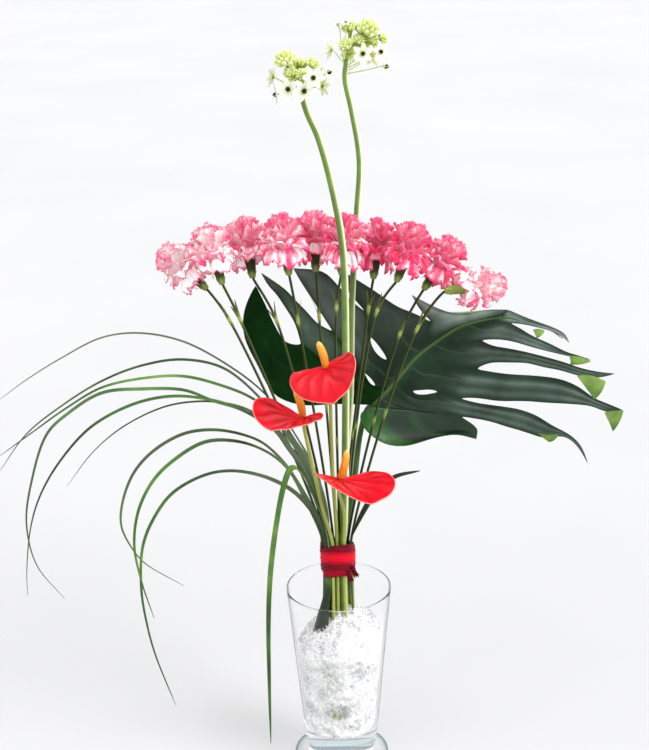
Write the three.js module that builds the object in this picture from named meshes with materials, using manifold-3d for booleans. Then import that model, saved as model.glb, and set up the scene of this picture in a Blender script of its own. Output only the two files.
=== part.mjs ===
// Ikebana arrangement: ten carnations in an arc, three anthuriums, two star-of-Bethlehem
// scapes, one monstera leaf and eleven arching grass blades, tied with a wound ribbon and
// standing in clear gel in a footed glass vase.
// Millimetres, +Z up, origin at the centre of the foot's underside, front toward -Y.

import * as THREE from 'three';
import { mergeVertices } from 'three/addons/utils/BufferGeometryUtils.js';
import Module from 'manifold-3d';

const wasm = await Module();
wasm.setup();

// ---------------------------------------------------------------- driving dimensions

const GAP = 0.35;                 // air between neighbouring pieces
const SEAT = 0.7;                 // the same under and over the curved middle of a spathe
const HOLE_GAP = 0.45;            // the same round a stem in the gel
const BLADE = 0.7;                // thickness of petals
const LEAF = 0.9;                 // thickness of the monstera leaf and the spathes

const FOOT_R = 65;                // round foot disc
const FOOT_TOP = 8.5;
const BOWL_FOOT_R = 46;           // bowl where it meets the foot
const BOWL_LOW = [50, 40];        // radius and height where the straight wall starts
const RIM = [70, 265];            // outer radius and height of the rim
const WALL = 3;
const FLOOR_Z = 54;               // inside bottom of the bowl
const VASE_SIDES = 36;

const GEL_WALL_Z = 160;           // gel surface at the glass and in the middle
const GEL_TOP_Z = 204;
const GEL_ROUGH = 5;

const TIE_Z = [279, 332];         // wound ribbon
const TIE_IN = 21.5;
const STEM_SPLAY = 1.3;           // how much the stems open out below the tie

const BLOOM_SIDES = 14;
const CALYX_SIDES = 7;
const STEM_R = 2.2;
const UPPER_R = 1.75;             // the same above the tie
// cup of the calyx, up its outside and down its inside, as [radius, height]; the mouth is toothed
const CALYX = [[2.3, -1], [4.3, 2], [5.7, 11], [6.9, 23], [5.9, 23], [4.8, 12], [4.1, 5]];
const CALYX_MOUTH = 23;
const CALYX_TOOTH = 1.2;

// slot in the tie, upper joint of the stem, foot of the calyx, middle of the bloom
const CARNATIONS = [
  { slot: [-18, 5], joint: [-137, 87, 613], calyx: [-166, 98, 653], head: [-197, 107, 681] },
  { slot: [-14, 0.8], joint: [-121, 56, 624], calyx: [-142, 63, 670], head: [-154, 69, 712] },
  { slot: [-10, 5], joint: [-75, 86, 611], calyx: [-105, 102, 666], head: [-110, 114, 706] },
  { slot: [-6, 0.8], joint: [-46, 55, 621], calyx: [-56, 65, 680], head: [-63, 71, 726] },
  { slot: [-2, 5], joint: [-19, 88, 615], calyx: [-22, 104, 672], head: [-24, 117, 715] },
  { slot: [2, 0.8], joint: [4, 58, 637], calyx: [11, 65, 679], head: [16, 70, 723] },
  { slot: [6, 5], joint: [46, 90, 624], calyx: [53, 101, 662], head: [59, 112, 708] },
  { slot: [10, 0.8], joint: [56, 57, 631], calyx: [82, 63, 669], head: [99, 67, 714] },
  { slot: [14, 5], joint: [87, 81, 592], calyx: [119, 97, 647], head: [149, 110, 688] },
  { slot: [18, 0.8], joint: [108, 53, 608], calyx: [144, 60, 655], head: [189, 61, 660] },
];

// skirts of ruffled petals from low to high: root and edge as [radius, height over the calyx foot]
const WHORLS = [
  { root: [5.8, 28.5], edge: [28.5, 36], wave: 3 },
  { root: [9, 34], edge: [27.5, 49], wave: 3 },
  { root: [8.5, 41], edge: [21, 60], wave: 2.6 },
];
const NECK = [[3.3, 5.4], [4.7, 25]];          // inside the calyx
const TUFT = [[12.5, 67], [11, 67.8], [3, 55]]; // innermost petals, a toothed cup

// place of the spathe and direction of its tip; lift of the left and right lobe, curl of their
// backs and their span; spadix tip
const ANTHURIUMS = [
  { slot: [-1, -13], via: [-5, -24, 450], base: [-10, -55, 594], tip: [0.05, -0.92, -0.36],
    roll: 6, lift: [2, 24], back: [-17, 6], span: [1.08, 0.9], spadix: [-19, -46, 624], size: 0.78 },
  { slot: [-7, -16.5], via: [-20, -33, 400], base: [-40, -58, 530], tip: [-0.55, -0.83, 0.03],
    roll: -16, lift: [24, 10], back: [4, -4], span: [1.3, 1], spadix: [-49, -52, 566], size: 0.8 },
  { slot: [8, -16], via: [9, -32, 385], base: [4, -68, 450], tip: [0.5, -0.86, -0.02],
    roll: 9, lift: [10, 13], back: [-2, -5], span: [1, 1.35], spadix: [13, -60, 486], size: 0.84 },
];

const SPATHE_HUB = 2.2;           // flat round middle of a spathe
// heart outline round the spadix: [angle from the tip, reach]
const HEART = [[0, 84], [9, 79], [30, 74], [53, 65], [78, 54], [103, 45], [127, 38], [149, 27],
  [167, 12]];

const SCAPES = [
  { slot: [6, -7], radius: [5.2, 4.2], path: [[8, -4, 349], [15, 21, 657], [12, 27, 734],
    [-1, 33, 809], [-15, 37, 862], [-27, 40, 890], [-33, 42, 911]], lean: [0.2, -0.1, 1],
  size: 1 },
  { slot: [0.5, 14.3], radius: [5.2, 4.0], path: [[3, 27, 350], [20, 73, 502], [25, 111, 630],
    [33, 143, 736], [38, 164, 805], [29, 183, 867], [21, 196, 908], [24, 203, 930]],
  lean: [1, -0.1, 1], size: 1.15 },
];

const HEAD_R = 13;                // core of a star-of-Bethlehem head
const HEAD_H = 42;
const BUDS = 9;
const FLORETS = 4;
const FLORET_R = 12;

// monstera outline in the picture plane [x, z]; each finger runs out to its tip and back
const PETIOLE = { slot: [11.8, 11.5], path: [[17, 35, 350], [25, 62, 400], [33, 83, 450]] };
const MIDRIB = [[52, 492], [86, 527], [109, 551], [136, 571], [167, 589], [201, 597], [232, 599],
  [262, 590], [287, 584], [303, 574]];
const FINGERS = [
  [[46, 489], [32, 484], [35, 466], [48, 452], [67, 441], [92, 439], [126, 448], [159, 452],
    [188, 445], [189, 458], [169, 474]],
  [[219, 464], [259, 451], [299, 443], [335, 416], [313, 452], [274, 477], [220, 486], [166, 498]],
  [[220, 495], [278, 491], [333, 485], [382, 477], [345, 494], [300, 516], [234, 528], [187, 540]],
  [[227, 541], [280, 536], [327, 526], [375, 527], [333, 541], [287, 551], [234, 562], [196, 576]],
  [[241, 571], [280, 559], [341, 539], [307, 561], [271, 578], [234, 595]],
  [[267, 581], [310, 569], [288, 589], [261, 600], [232, 610]],
  [[195, 611], [162, 611], [135, 620], [104, 631], [115, 612], [129, 597]],
  [[108, 607], [85, 616], [53, 637], [26, 653], [4, 665], [16, 641], [41, 611]],
  [[22, 626], [8, 642], [-10, 663], [-38, 666], [-32, 638], [-18, 611], [-2, 587]],
  [[-21, 597], [-39, 624], [-59, 639], [-96, 662], [-84, 642], [-65, 614], [-44, 571]],
  [[-59, 573], [-78, 601], [-95, 630], [-103, 647], [-112, 630], [-122, 600], [-119, 565],
    [-104, 524], [-92, 507], [-68, 496], [-39, 493], [1, 494], [37, 493]],
];
// box round the whole leaf
const LEAF_BOX = { x: [-135, 395], y: [-50, 250], z: [405, 680] };
// slits beside the ribs: [end, end, half width]
const SLITS = [[[103, 509], [137, 507], 3.5], [[49, 577], [69, 550], 5], [[42, 531], [55, 516], 3.5]];

// grass: slot in the tie, plan slope dy/dx, width, then the arc as [x, z]
const GRASS = [
  { slot: [-10.8, -12.4], slope: 0.13, wide: 4.2, path: [[-13, 380], [-20, 414], [-35, 458],
    [-49, 487], [-66, 518], [-88, 550], [-122, 583], [-184, 625], [-238, 640], [-283, 637],
    [-333, 614], [-378, 588], [-414, 563]] },
  { slot: [-16.4, -2.6], slope: -0.17, wide: 4.2, path: [[-25, 406], [-41, 446], [-56, 471],
    [-73, 498], [-94, 529], [-141, 570], [-193, 580], [-247, 570], [-303, 546], [-361, 508],
    [-413, 465], [-456, 408]] },
  { slot: [-11.2, -5], slope: 0.03, wide: 4.6, path: [[-16, 380], [-23, 412], [-39, 454],
    [-54, 481], [-71, 510], [-107, 540], [-140, 556], [-190, 571], [-241, 570], [-294, 559],
    [-340, 533], [-389, 499], [-430, 470]] },
  { slot: [-13.3, -9.6], slope: 0.12, wide: 5, path: [[-18, 378], [-27, 409], [-44, 449],
    [-59, 473], [-76, 500], [-120, 530], [-152, 543], [-188, 560], [-239, 565], [-289, 563],
    [-333, 538], [-360, 513], [-385, 448], [-396, 391], [-388, 331], [-357, 280]] },
  { slot: [-15.7, -6.3], slope: -0.064, wide: 5, path: [[-22, 378], [-31, 408], [-48, 446],
    [-62, 468], [-79, 493], [-128, 524], [-172, 536], [-212, 538], [-259, 527], [-315, 496],
    [-359, 449], [-390, 400], [-408, 352], [-420, 283], [-422, 247]] },
  { slot: [-19.8, -1.4], slope: -0.3, wide: 4.2, path: [[-29, 406], [-45, 441], [-60, 463],
    [-77, 485], [-109, 508], [-144, 516], [-184, 514], [-227, 502], [-285, 468], [-330, 427],
    [-373, 370]] },
  { slot: [-19.0, -5.5], slope: 0.302, wide: 5, path: [[-24, 355], [-39, 394], [-62, 446],
    [-90, 483], [-114, 499], [-152, 512], [-189, 512], [-227, 494], [-252, 468], [-268, 429],
    [-271, 398], [-260, 365], [-246, 342], [-200, 301]] },
  { slot: [-15.2, -12.7], slope: 0.445, wide: 5.5, path: [[-20, 359], [-36, 399], [-62, 452],
    [-89, 482], [-125, 503], [-162, 509], [-200, 492], [-224, 471], [-243, 436], [-251, 390],
    [-246, 340], [-234, 283]] },
  { slot: [-17.5, -9.3], slope: 0.302, wide: 5, path: [[-26, 368], [-53, 411], [-91, 440],
    [-133, 455], [-167, 454], [-206, 436], [-229, 408], [-246, 370], [-252, 310], [-248, 255],
    [-240, 208], [-219, 129]] },
  { slot: [17, -8.5], slope: -0.12, wide: 6, path: [[24, 356], [40, 390], [57, 415], [76, 430],
    [107, 439]] },
  { slot: [-12.2, -15.6], slope: 0.644, wide: 9.5, path: [[-20, 379], [-34, 420], [-46, 449],
    [-52, 457], [-58, 457], [-63, 448], [-70, 425], [-78, 385], [-87, 323], [-92, 253],
    [-94, 163], [-95, 66]] },
];
const TWIST = 48;                 // degrees a blade turns its face toward the front

// ---------------------------------------------------------------- small helpers

const V = (x, y, z) => new THREE.Vector3(x, y, z);
const vec = (list) => new THREE.Vector3(...list);
const mix = THREE.MathUtils.lerp;
const smooth = (from, to, x) => THREE.MathUtils.smoothstep(x, from, to);
const rad = THREE.MathUtils.degToRad;

/** Repeatable random numbers between 0 and 1. */
function random(seed) {
  let state = seed;
  return () => {
    state = (state * 16807) % 2147483647;
    return state / 2147483647;
  };
}

/** Points of a smooth curve through the given ones, with `per` steps in each span. */
function course(points, per) {
  const curve = new THREE.CatmullRomCurve3(points);
  const spans = points.length - 1;
  const out = [points[0].clone()];
  for (let k = 0; k < spans; k += 1) {
    const steps = Array.isArray(per) ? per[k] : per;
    for (let s = 1; s <= steps; s += 1) out.push(curve.getPoint((k + s / steps) / spans));
  }
  return out;
}

/** Direction of a polyline at each of its points. */
function tangents(path) {
  return path.map((_, k) => {
    const from = path[Math.max(0, k - 1)];
    const to = path[Math.min(path.length - 1, k + 1)];
    return to.clone().sub(from).normalize();
  });
}

/** Two directions square to an axis, the first as near to +X as can be. */
function frame(axis) {
  const u = V(1, 0, 0).addScaledVector(axis, -axis.x).normalize();
  return { u, w: axis.clone().cross(u) };
}

function geometryOf(points, faces) {
  const geometry = new THREE.BufferGeometry();
  const flat = points.flatMap((p) => [p.x, p.y, p.z]);
  geometry.setAttribute('position', new THREE.Float32BufferAttribute(flat, 3));
  geometry.setIndex(faces);
  return geometry;
}

/** Closed skin over rings of equal length: the ends are capped, or the last ring meets the first. */
function loft(rings, closed = false) {
  const n = rings[0].length;
  const faces = [];
  const bands = closed ? rings.length : rings.length - 1;
  for (let k = 0; k < bands; k += 1) {
    const low = k * n;
    const high = ((k + 1) % rings.length) * n;
    for (let i = 0; i < n; i += 1) {
      const j = (i + 1) % n;
      faces.push(low + i, low + j, high + j, low + i, high + j, high + i);
    }
  }
  if (!closed) {
    const last = (rings.length - 1) * n;
    for (let i = 1; i < n - 1; i += 1) {
      faces.push(0, i + 1, i, last, last + i, last + i + 1);
    }
  }
  return geometryOf(rings.flat(), faces);
}

/** Ring of points round an axis; `radius` is a number or a function of the point's number. */
function ring(centre, axis, radius, sides, lift = () => 0) {
  const { u, w } = frame(axis);
  return Array.from({ length: sides }, (_, i) => {
    const a = (2 * Math.PI * i) / sides;
    const r = typeof radius === 'function' ? radius(i) : radius;
    return centre.clone().addScaledVector(u, r * Math.cos(a)).addScaledVector(w, r * Math.sin(a))
      .addScaledVector(axis, lift(i));
  });
}

/** Round rod along a polyline. */
function rod(path, radii, sides) {
  const along = tangents(path);
  return loft(path.map((p, k) => ring(p, along[k], radii[k], sides)));
}

/** Flat strap along a polyline, `across` giving its wide direction at each point. */
function strap(path, widths, thickness, across) {
  const along = tangents(path);
  return loft(path.map((p, k) => {
    const s = across[k];
    const n = along[k].clone().cross(s).normalize();
    return [[-1, -1], [1, -1], [1, 1], [-1, 1]].map(([a, b]) => p.clone()
      .addScaledVector(s, (a * widths[k]) / 2).addScaledVector(n, (b * thickness[k]) / 2));
  }));
}

/** Thin closed blade: a sheet of rows thickened along its own normals.
 *  wrap joins the last column to the first, cap closes the middle of such a sheet. */
function blade(rows, thickness, wrap = false, cap = false) {
  const m = rows.length;
  const n = rows[0].length;
  const col = (j) => (wrap ? (j + n) % n : Math.min(n - 1, Math.max(0, j)));
  const row = (i) => Math.min(m - 1, Math.max(0, i));
  const skins = [1, -1].map((side) => rows.map((line, i) => line.map((p, j) => {
    const du = rows[i][col(j + 1)].clone().sub(rows[i][col(j - 1)]);
    const dv = rows[row(i + 1)][j].clone().sub(rows[row(i - 1)][j]);
    return p.clone().addScaledVector(du.cross(dv).normalize(), (side * thickness) / 2);
  })));
  const top = (i, j) => i * n + col(j);
  const low = (i, j) => m * n + i * n + col(j);
  const faces = [];
  const quad = (a, b, c, d) => faces.push(a, b, c, a, c, d);
  const columns = wrap ? n : n - 1;
  for (let i = 0; i < m - 1; i += 1) {
    for (let j = 0; j < columns; j += 1) {
      faces.push(top(i, j), top(i, j + 1), top(i + 1, j + 1));
      faces.push(top(i, j), top(i + 1, j + 1), top(i + 1, j));
      faces.push(low(i, j), low(i + 1, j + 1), low(i, j + 1));
      faces.push(low(i, j), low(i + 1, j), low(i + 1, j + 1));
    }
    if (!wrap) {
      quad(low(i, 0), top(i, 0), top(i + 1, 0), low(i + 1, 0));
      quad(low(i, n - 1), low(i + 1, n - 1), top(i + 1, n - 1), top(i, n - 1));
    }
  }
  for (let j = 0; j < columns; j += 1) {
    if (!cap) quad(low(0, j), low(0, j + 1), top(0, j + 1), top(0, j));
    quad(low(m - 1, j + 1), low(m - 1, j), top(m - 1, j), top(m - 1, j + 1));
  }
  if (cap) {
    for (let j = 1; j < n - 1; j += 1) {
      faces.push(top(0, 0), top(0, j + 1), top(0, j), low(0, 0), low(0, j), low(0, j + 1));
    }
  }
  return geometryOf(skins.flat(2), faces);
}

/** Solid for joining and cutting. */
function solid(geometry) {
  const bare = geometry.clone();
  bare.deleteAttribute('normal');
  bare.deleteAttribute('uv');
  const welded = mergeVertices(bare, 1e-4);
  return new wasm.Manifold(new wasm.Mesh({
    numProp: 3,
    vertProperties: new Float32Array(welded.attributes.position.array),
    triVerts: new Uint32Array(welded.index.array),
  }));
}

/** Largest body of a solid as a three.js geometry. */
function shapeOf(body) {
  const pieces = body.decompose().sort((a, b) => b.volume() - a.volume());
  const skin = pieces[0].getMesh();
  const geometry = new THREE.BufferGeometry();
  geometry.setAttribute('position', new THREE.BufferAttribute(skin.vertProperties, 3));
  geometry.setIndex(new THREE.BufferAttribute(skin.triVerts, 1));
  return geometry;
}

const fuse = (geometries) => shapeOf(geometries.map(solid).reduce((a, b) => a.add(b)));

const arrangement = new THREE.Group();
arrangement.name = 'ikebana_arrangement';

function place(name, geometry, color, roughness, extra = {}) {
  const mesh = new THREE.Mesh(geometry,
    new THREE.MeshStandardMaterial({ color, roughness, metalness: 0, ...extra }));
  mesh.name = name;
  arrangement.add(mesh);
}

// what stands in the gel, widened by the clearance, to be cut out of it
const holes = [];

/** Straight foot of a stem under the tie and the hole it needs. */
function footOf(slot, cutZ, radius, sides, splay = STEM_SPLAY) {
  const cut = V(slot[0] * splay, slot[1] * splay, cutZ);
  const tie = V(slot[0], slot[1], TIE_Z[0] - 2);
  const down = cut.clone().sub(tie).normalize();
  const deep = cut.clone().addScaledVector(down, 0.6);
  holes.push(rod([deep, tie], [radius + HOLE_GAP, radius + HOLE_GAP], sides));
  return [cut, tie, V(slot[0], slot[1], TIE_Z[1] + 2)];
}

// ---------------------------------------------------------------- vase

const vaseProfile = [[0, 0], [62.5, 0], [FOOT_R, 2.2], [FOOT_R, 6], [62.5, FOOT_TOP],
  [BOWL_FOOT_R + 1.5, 10], [BOWL_FOOT_R, 13], BOWL_LOW, [RIM[0] - 0.2, RIM[1] - 2.5],
  [RIM[0] - 1, RIM[1]], [RIM[0] - WALL + 0.8, RIM[1]], [RIM[0] - WALL, RIM[1] - 2.5],
  [BOWL_LOW[0] - WALL, FLOOR_Z + 3], [BOWL_LOW[0] - WALL - 3, FLOOR_Z], [0, FLOOR_Z]];
const vase = new THREE.LatheGeometry(vaseProfile.map((p) => new THREE.Vector2(...p)), VASE_SIDES);
vase.rotateX(Math.PI / 2);
place('vase', shapeOf(solid(vase)), '#dfe6ea', 0.05, { transparent: true, opacity: 0.35 });

// ---------------------------------------------------------------- ribbon

const UP = V(0, 0, 1);

/** Wound ribbon: three bulging turns, each laid a little aslant, and two short tails. */
function ribbonTie() {
  const sides = 18;
  const [z0, z1] = TIE_Z;
  const turns = [[0, 0.4], [0.07, 2], [0.27, 2.2], [0.35, 1.2], [0.44, 2.5], [0.62, 2.4],
    [0.7, 1.3], [0.8, 2.3], [0.95, 1.9], [1, 0.4]];
  const rings = turns.map(([t, out], k) => ring(V(0, 0, mix(z0, z1, t)), UP,
    (i) => TIE_IN + out + 0.3 * Math.sin(3 * i + 2 * k), sides,
    (i) => (t > 0 && t < 1 ? 1.6 * Math.sin((2 * Math.PI * i) / sides + 1.9 * k) : 0)));
  rings.push(ring(V(0, 0, z1), UP, TIE_IN, sides), ring(V(0, 0, z0), UP, TIE_IN, sides));
  const tails = [[V(17, -15.5, 292), V(20.5, -17.5, 286), V(24, -19, 281)],
    [V(13, -19.5, 291), V(15.5, -21.5, 284), V(18, -22.5, 276)]];
  const across = [V(0.5, -0.2, 0.8), V(0.5, -0.2, 0.8), V(0.6, -0.2, 0.8)];
  const ends = tails.map((path) => strap(path, [4, 5, 3.2], [1.4, 1.2, 1], across
    .map((v) => v.clone().normalize())));
  return fuse([loft(rings, true), ...ends]);
}
place('ribbon_tie', ribbonTie(), '#b3122d', 0.75);

// ---------------------------------------------------------------- carnations

/** Stem, its swollen joints, paired leaves and the toothed cup of the calyx. */
function carnationStem(flower, number) {
  const draw = random(901 + 37 * number);
  const foot = footOf(flower.slot, mix(64, 92, draw()), STEM_R, 5);
  const joint = vec(flower.joint);
  const base = vec(flower.calyx);
  const axis = vec(flower.head).sub(base).normalize();
  const path = course([...foot, joint, base, base.clone().addScaledVector(axis, 3)], [1, 1, 3, 1, 1]);
  const radii = path.map((_, k) => (k < 3 ? STEM_R : UPPER_R));
  radii[4] = 2.4;
  radii[5] = 2.7;
  const tooth = (i) => (i % 2 ? -CALYX_TOOTH : CALYX_TOOTH);
  const cup = loft(CALYX.map(([r, h]) => ring(base.clone().addScaledVector(axis, h), axis, r,
    CALYX_SIDES, h === CALYX_MOUTH ? tooth : undefined)));
  const parts = [rod(path, radii, 5), cup];
  const dir = tangents(path)[5];
  const { u, w } = frame(dir);
  const turn = draw() * Math.PI;
  [0, Math.PI].forEach((half) => {
    const out = u.clone().multiplyScalar(Math.cos(turn + half))
      .addScaledVector(w, Math.sin(turn + half));
    const long = mix(20, 28, draw());
    const blades = [[0, 0.3], [0.5, 4], [1, 9]].map(([t, side]) => joint.clone()
      .addScaledVector(dir, t * long - 1).addScaledVector(out, side));
    const wide = out.clone().cross(dir).normalize();
    parts.push(strap(blades, [3.4, 2.6, 0.8], [1.2, 0.9, 0.65], blades.map(() => wide)));
  });
  return fuse(parts);
}

/** Ruffled bloom: skirts of waved, toothed petals standing out of a smaller core. */
function carnationBloom(flower, number) {
  const draw = random(77 + 101 * number);
  const base = vec(flower.calyx);
  const axis = vec(flower.head).sub(base).normalize();
  const plain = ([r, h]) => ring(base.clone().addScaledVector(axis, h), axis, r, BLOOM_SIDES);
  const toothed = ([r, h], wave, [p1, p2]) => ring(base.clone().addScaledVector(axis, h), axis,
    (i) => r - (i % 2 ? 0.1 * r : 0), BLOOM_SIDES, (i) => {
      const a = (2 * Math.PI * i) / BLOOM_SIDES;
      return wave * (0.6 * Math.sin(3 * a + p1) + 0.4 * Math.sin(5 * a + p2)) + (i % 2 ? 1.3 : -1.3);
    });
  const rings = NECK.map(plain);
  WHORLS.forEach(({ root, edge, wave }) => {
    const run = new THREE.Vector2(edge[0] - root[0], edge[1] - root[1]).normalize();
    const shift = ([r, h], side) => [r - side * run.y * BLADE * 0.65, h + side * run.x * BLADE * 0.65];
    const phases = [draw() * 6.28, draw() * 6.28];
    rings.push(plain(shift(root, -1)), toothed(shift(edge, -1), wave, phases),
      toothed(shift(edge, 1), wave, phases), plain(shift(root, 1)));
  });
  const phases = [draw() * 6.28, draw() * 6.28];
  rings.push(toothed(TUFT[0], 1.4, phases), toothed(TUFT[1], 1.4, phases), plain(TUFT[2]));
  return loft(rings);
}

CARNATIONS.forEach((flower, k) => {
  const tag = String(k + 1).padStart(2, '0');
  place(`carnation_stem_${tag}`, carnationStem(flower, k), '#5d7a52', 0.6);
  place(`carnation_bloom_${tag}`, carnationBloom(flower, k), '#f08aa6', 0.8);
});

// ---------------------------------------------------------------- anthuriums

/** Heart-shaped spathe, folded up at its lobes and ribbed along its veins. */
function spathe(flower, axes) {
  const { tip, side, normal, base } = axes;
  const full = [...HEART, [180, 7], ...HEART.slice(1).reverse().map(([a, r]) => [-a, r])];
  const rows = [0, 0.18, 0.6, 1].map((share) => full.map(([angle, reach], j) => {
    const r = mix(SPATHE_HUB, reach * flower.size, share);
    const lobe = angle > 0 ? 1 : 0;
    const s = r * Math.cos(rad(angle));
    const t = r * Math.sin(rad(angle)) * flower.span[lobe];
    const lift = flower.lift[lobe] * (t / 45) ** 2;
    const vein = share > 0.3 && share < 1 ? (j % 2 ? 0.5 : -0.5) : 0;
    const drop = s > 0 ? -5 * (s / 84) ** 2 : flower.back[lobe] * (s / 25) ** 2;
    return base.clone().addScaledVector(tip, s).addScaledVector(side, t)
      .addScaledVector(normal, lift + drop + vein);
  }));
  return blade(rows, LEAF, true, true);
}

ANTHURIUMS.forEach((flower, k) => {
  const base = vec(flower.base);
  const tip = vec(flower.tip).normalize();
  const level = V(-tip.y, tip.x, 0).normalize();
  const side = level.applyAxisAngle(tip, rad(-flower.roll));
  const normal = tip.clone().cross(side).normalize();
  place(`anthurium_spathe_${k + 1}`, shapeOf(solid(spathe(flower, { tip, side, normal, base }))),
    '#e8112d', 0.3);
  const start = base.clone().addScaledVector(normal, LEAF / 2 + SEAT);
  const low = start.clone().addScaledVector(normal, 2.2);
  const top = vec(flower.spadix);
  const middle = low.clone().lerp(top, 0.5).add(V(1.5, -2, 0));
  const end = top.clone().add(V(-0.5, 0.5, 1.6));
  place(`anthurium_spadix_${k + 1}`, rod(course([start, low, middle, top, end], [1, 2, 2, 1]),
    [1.7, 4.4, 4.8, 4.6, 4.4, 3.7, 1.6], 8), '#f0a030', 0.6);
  const foot = footOf(flower.slot, 68 + 6 * k, 2.4, 6);
  const under = base.clone().addScaledVector(normal, -10);
  const joined = base.clone().addScaledVector(normal, -LEAF / 2 - SEAT);
  const path = course([...foot, vec(flower.via), under, joined], [1, 1, 3, 3, 1]);
  place(`anthurium_stem_${k + 1}`, rod(path, path.map((_, i) => (i < 3 ? 2.4 : 2.2)), 6),
    '#7f8c3c', 0.5);
});

// ---------------------------------------------------------------- star-of-Bethlehem

/** Head of one scape: budding crown above, open starry florets on stalks below it. */
function starHead(top, stem, axis, size, number) {
  const draw = random(333 + 71 * number);
  const at = (h) => top.clone().addScaledVector(axis, h * size);
  const { u, w } = frame(axis);
  const spoke = (a, up) => u.clone().multiplyScalar(Math.cos(a)).addScaledVector(w, Math.sin(a))
    .multiplyScalar(Math.sqrt(1 - up * up)).addScaledVector(axis, up);
  const core = [[5.5, 5], [HEAD_R - 3, 15], [HEAD_R, 27], [HEAD_R - 4, HEAD_H - 4], [1.5, HEAD_H + 1]];
  const parts = [loft([ring(top, stem, 3.4, 7),
    ...core.map(([r, h]) => ring(at(h), axis, r * size, 7))])];
  for (let k = 0; k < BUDS; k += 1) {
    const t = k / (BUDS - 1);
    const out = spoke(2.4 * k + 0.5 * draw(), mix(0.1, 0.9, t));
    const from = at(mix(20, HEAD_H - 8, t)).addScaledVector(out, mix(8, 2, t) * size);
    const fat = mix(6, 5, t) * size;
    const path = [0, 0.55, 1].map((share) => from.clone().addScaledVector(out, share * 14 * size));
    parts.push(rod(path, [fat * 0.6, fat, fat * 0.35], 4));
  }
  for (let k = 0; k < FLORETS; k += 1) {
    const a = (2 * Math.PI * (k + 0.4 * draw())) / FLORETS;
    const out = spoke(a, mix(0, 0.35, draw()));
    const from = at(mix(6, 15, (k * 0.37) % 1));
    const heart = from.clone().addScaledVector(out, mix(22, 29, draw()) * size);
    const face = out.clone().addScaledVector(axis, 0.3).normalize();
    parts.push(rod([from, heart], [1.2, 1.2], 3));
    const petals = (shift) => ring(heart, face, (j) => (j % 2 ? 0.54 : 1) * FLORET_R * size, 12,
      (j) => shift + (j % 2 ? 2.2 : 4));
    parts.push(loft([ring(heart, face, 1.6, 12, () => -0.6), petals(-0.5), petals(0.5),
      ring(heart, face, 2.6, 12, () => 1), ring(heart, face, 1.4, 12, () => 5)]));
  }
  return fuse(parts);
}

SCAPES.forEach((scape, k) => {
  const foot = footOf(scape.slot, 66 + 8 * k, scape.radius[0], 8);
  const path = course([...foot, ...scape.path.map(vec)],
    [1, 1, 1, ...scape.path.slice(1).map(() => 2)]);
  const count = path.length - 1;
  place(`star_scape_${k + 1}`, rod(path, path.map((_, i) => mix(...scape.radius, i / count)), 8),
    '#7fa23c', 0.5);
  const end = tangents(path)[count];
  const axis = end.clone().add(vec(scape.lean).multiplyScalar(0.4)).normalize();
  const top = path[count].clone().addScaledVector(end, GAP + 0.05);
  place(`star_head_${k + 1}`, starHead(top, end, axis, scape.size, k), '#dfe6a8', 0.7);
});

// ---------------------------------------------------------------- monstera

/** Depth of the leaf behind the picture plane: leaning back, waved, its far tips drooping. */
function leafDepth(x, z) {
  const lean = 92 + 0.3 * (z - 530) + 0.001 * Math.max(0, z - 560) ** 2;
  const droop = -0.0007 * Math.max(0, x - 200) ** 2 - 0.0006 * Math.max(0, -20 - x) ** 2;
  return lean + droop + 2.5 * Math.sin(x / 37) * Math.sin(z / 31 + x / 90);
}

/** Deeply cut leaf with slits, its midrib and its long stalk, grown as one piece. */
function monsteraLeaf() {
  const columns = 11;
  const lines = 6;
  const rows = Array.from({ length: lines + 1 }, (_, i) => Array.from({ length: columns + 1 },
    (__, j) => {
      const x = mix(...LEAF_BOX.x, j / columns);
      const z = mix(...LEAF_BOX.z, i / lines);
      return V(x, leafDepth(x, z), z);
    }));
  const outline = new THREE.Shape(FINGERS.flat().map(([x, z]) => new THREE.Vector2(x, z)));
  SLITS.forEach(([a, b, half]) => {
    const centre = new THREE.Vector2((a[0] + b[0]) / 2, (a[1] + b[1]) / 2);
    const along = new THREE.Vector2((b[0] - a[0]) / 2, (b[1] - a[1]) / 2);
    const over = new THREE.Vector2(-along.y, along.x).setLength(half);
    outline.holes.push(new THREE.Path(Array.from({ length: 8 }, (_, k) => centre.clone()
      .addScaledVector(along, Math.cos(-k * Math.PI / 4))
      .addScaledVector(over, Math.sin(-k * Math.PI / 4)))));
  });
  const [front, back] = LEAF_BOX.y;
  const cutter = new THREE.ExtrudeGeometry(outline, { depth: back - front, bevelEnabled: false });
  cutter.rotateX(Math.PI / 2);
  cutter.translate(0, back, 0);
  const sheet = shapeOf(solid(blade(rows, LEAF)).intersect(solid(cutter)));
  const foot = footOf(PETIOLE.slot, 70, 3.8, 5);
  const rib = MIDRIB.map(([x, z]) => V(x, leafDepth(x, z), z));
  const stalk = [...course([...foot, ...PETIOLE.path.map(vec), V(43, 90, 482), rib[0]],
    [1, 1, 1, 1, 1, 1, 1]), ...rib.slice(1)];
  const radii = stalk.map((_, i) => (i < 7 ? 3.8 : mix(3.2, 0.8, (i - 7) / (stalk.length - 8))));
  return fuse([sheet, rod(stalk, radii, 5)]);
}
place('monstera_leaf', monsteraLeaf(), '#1f3d2b', 0.4);

// ---------------------------------------------------------------- grass

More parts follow.
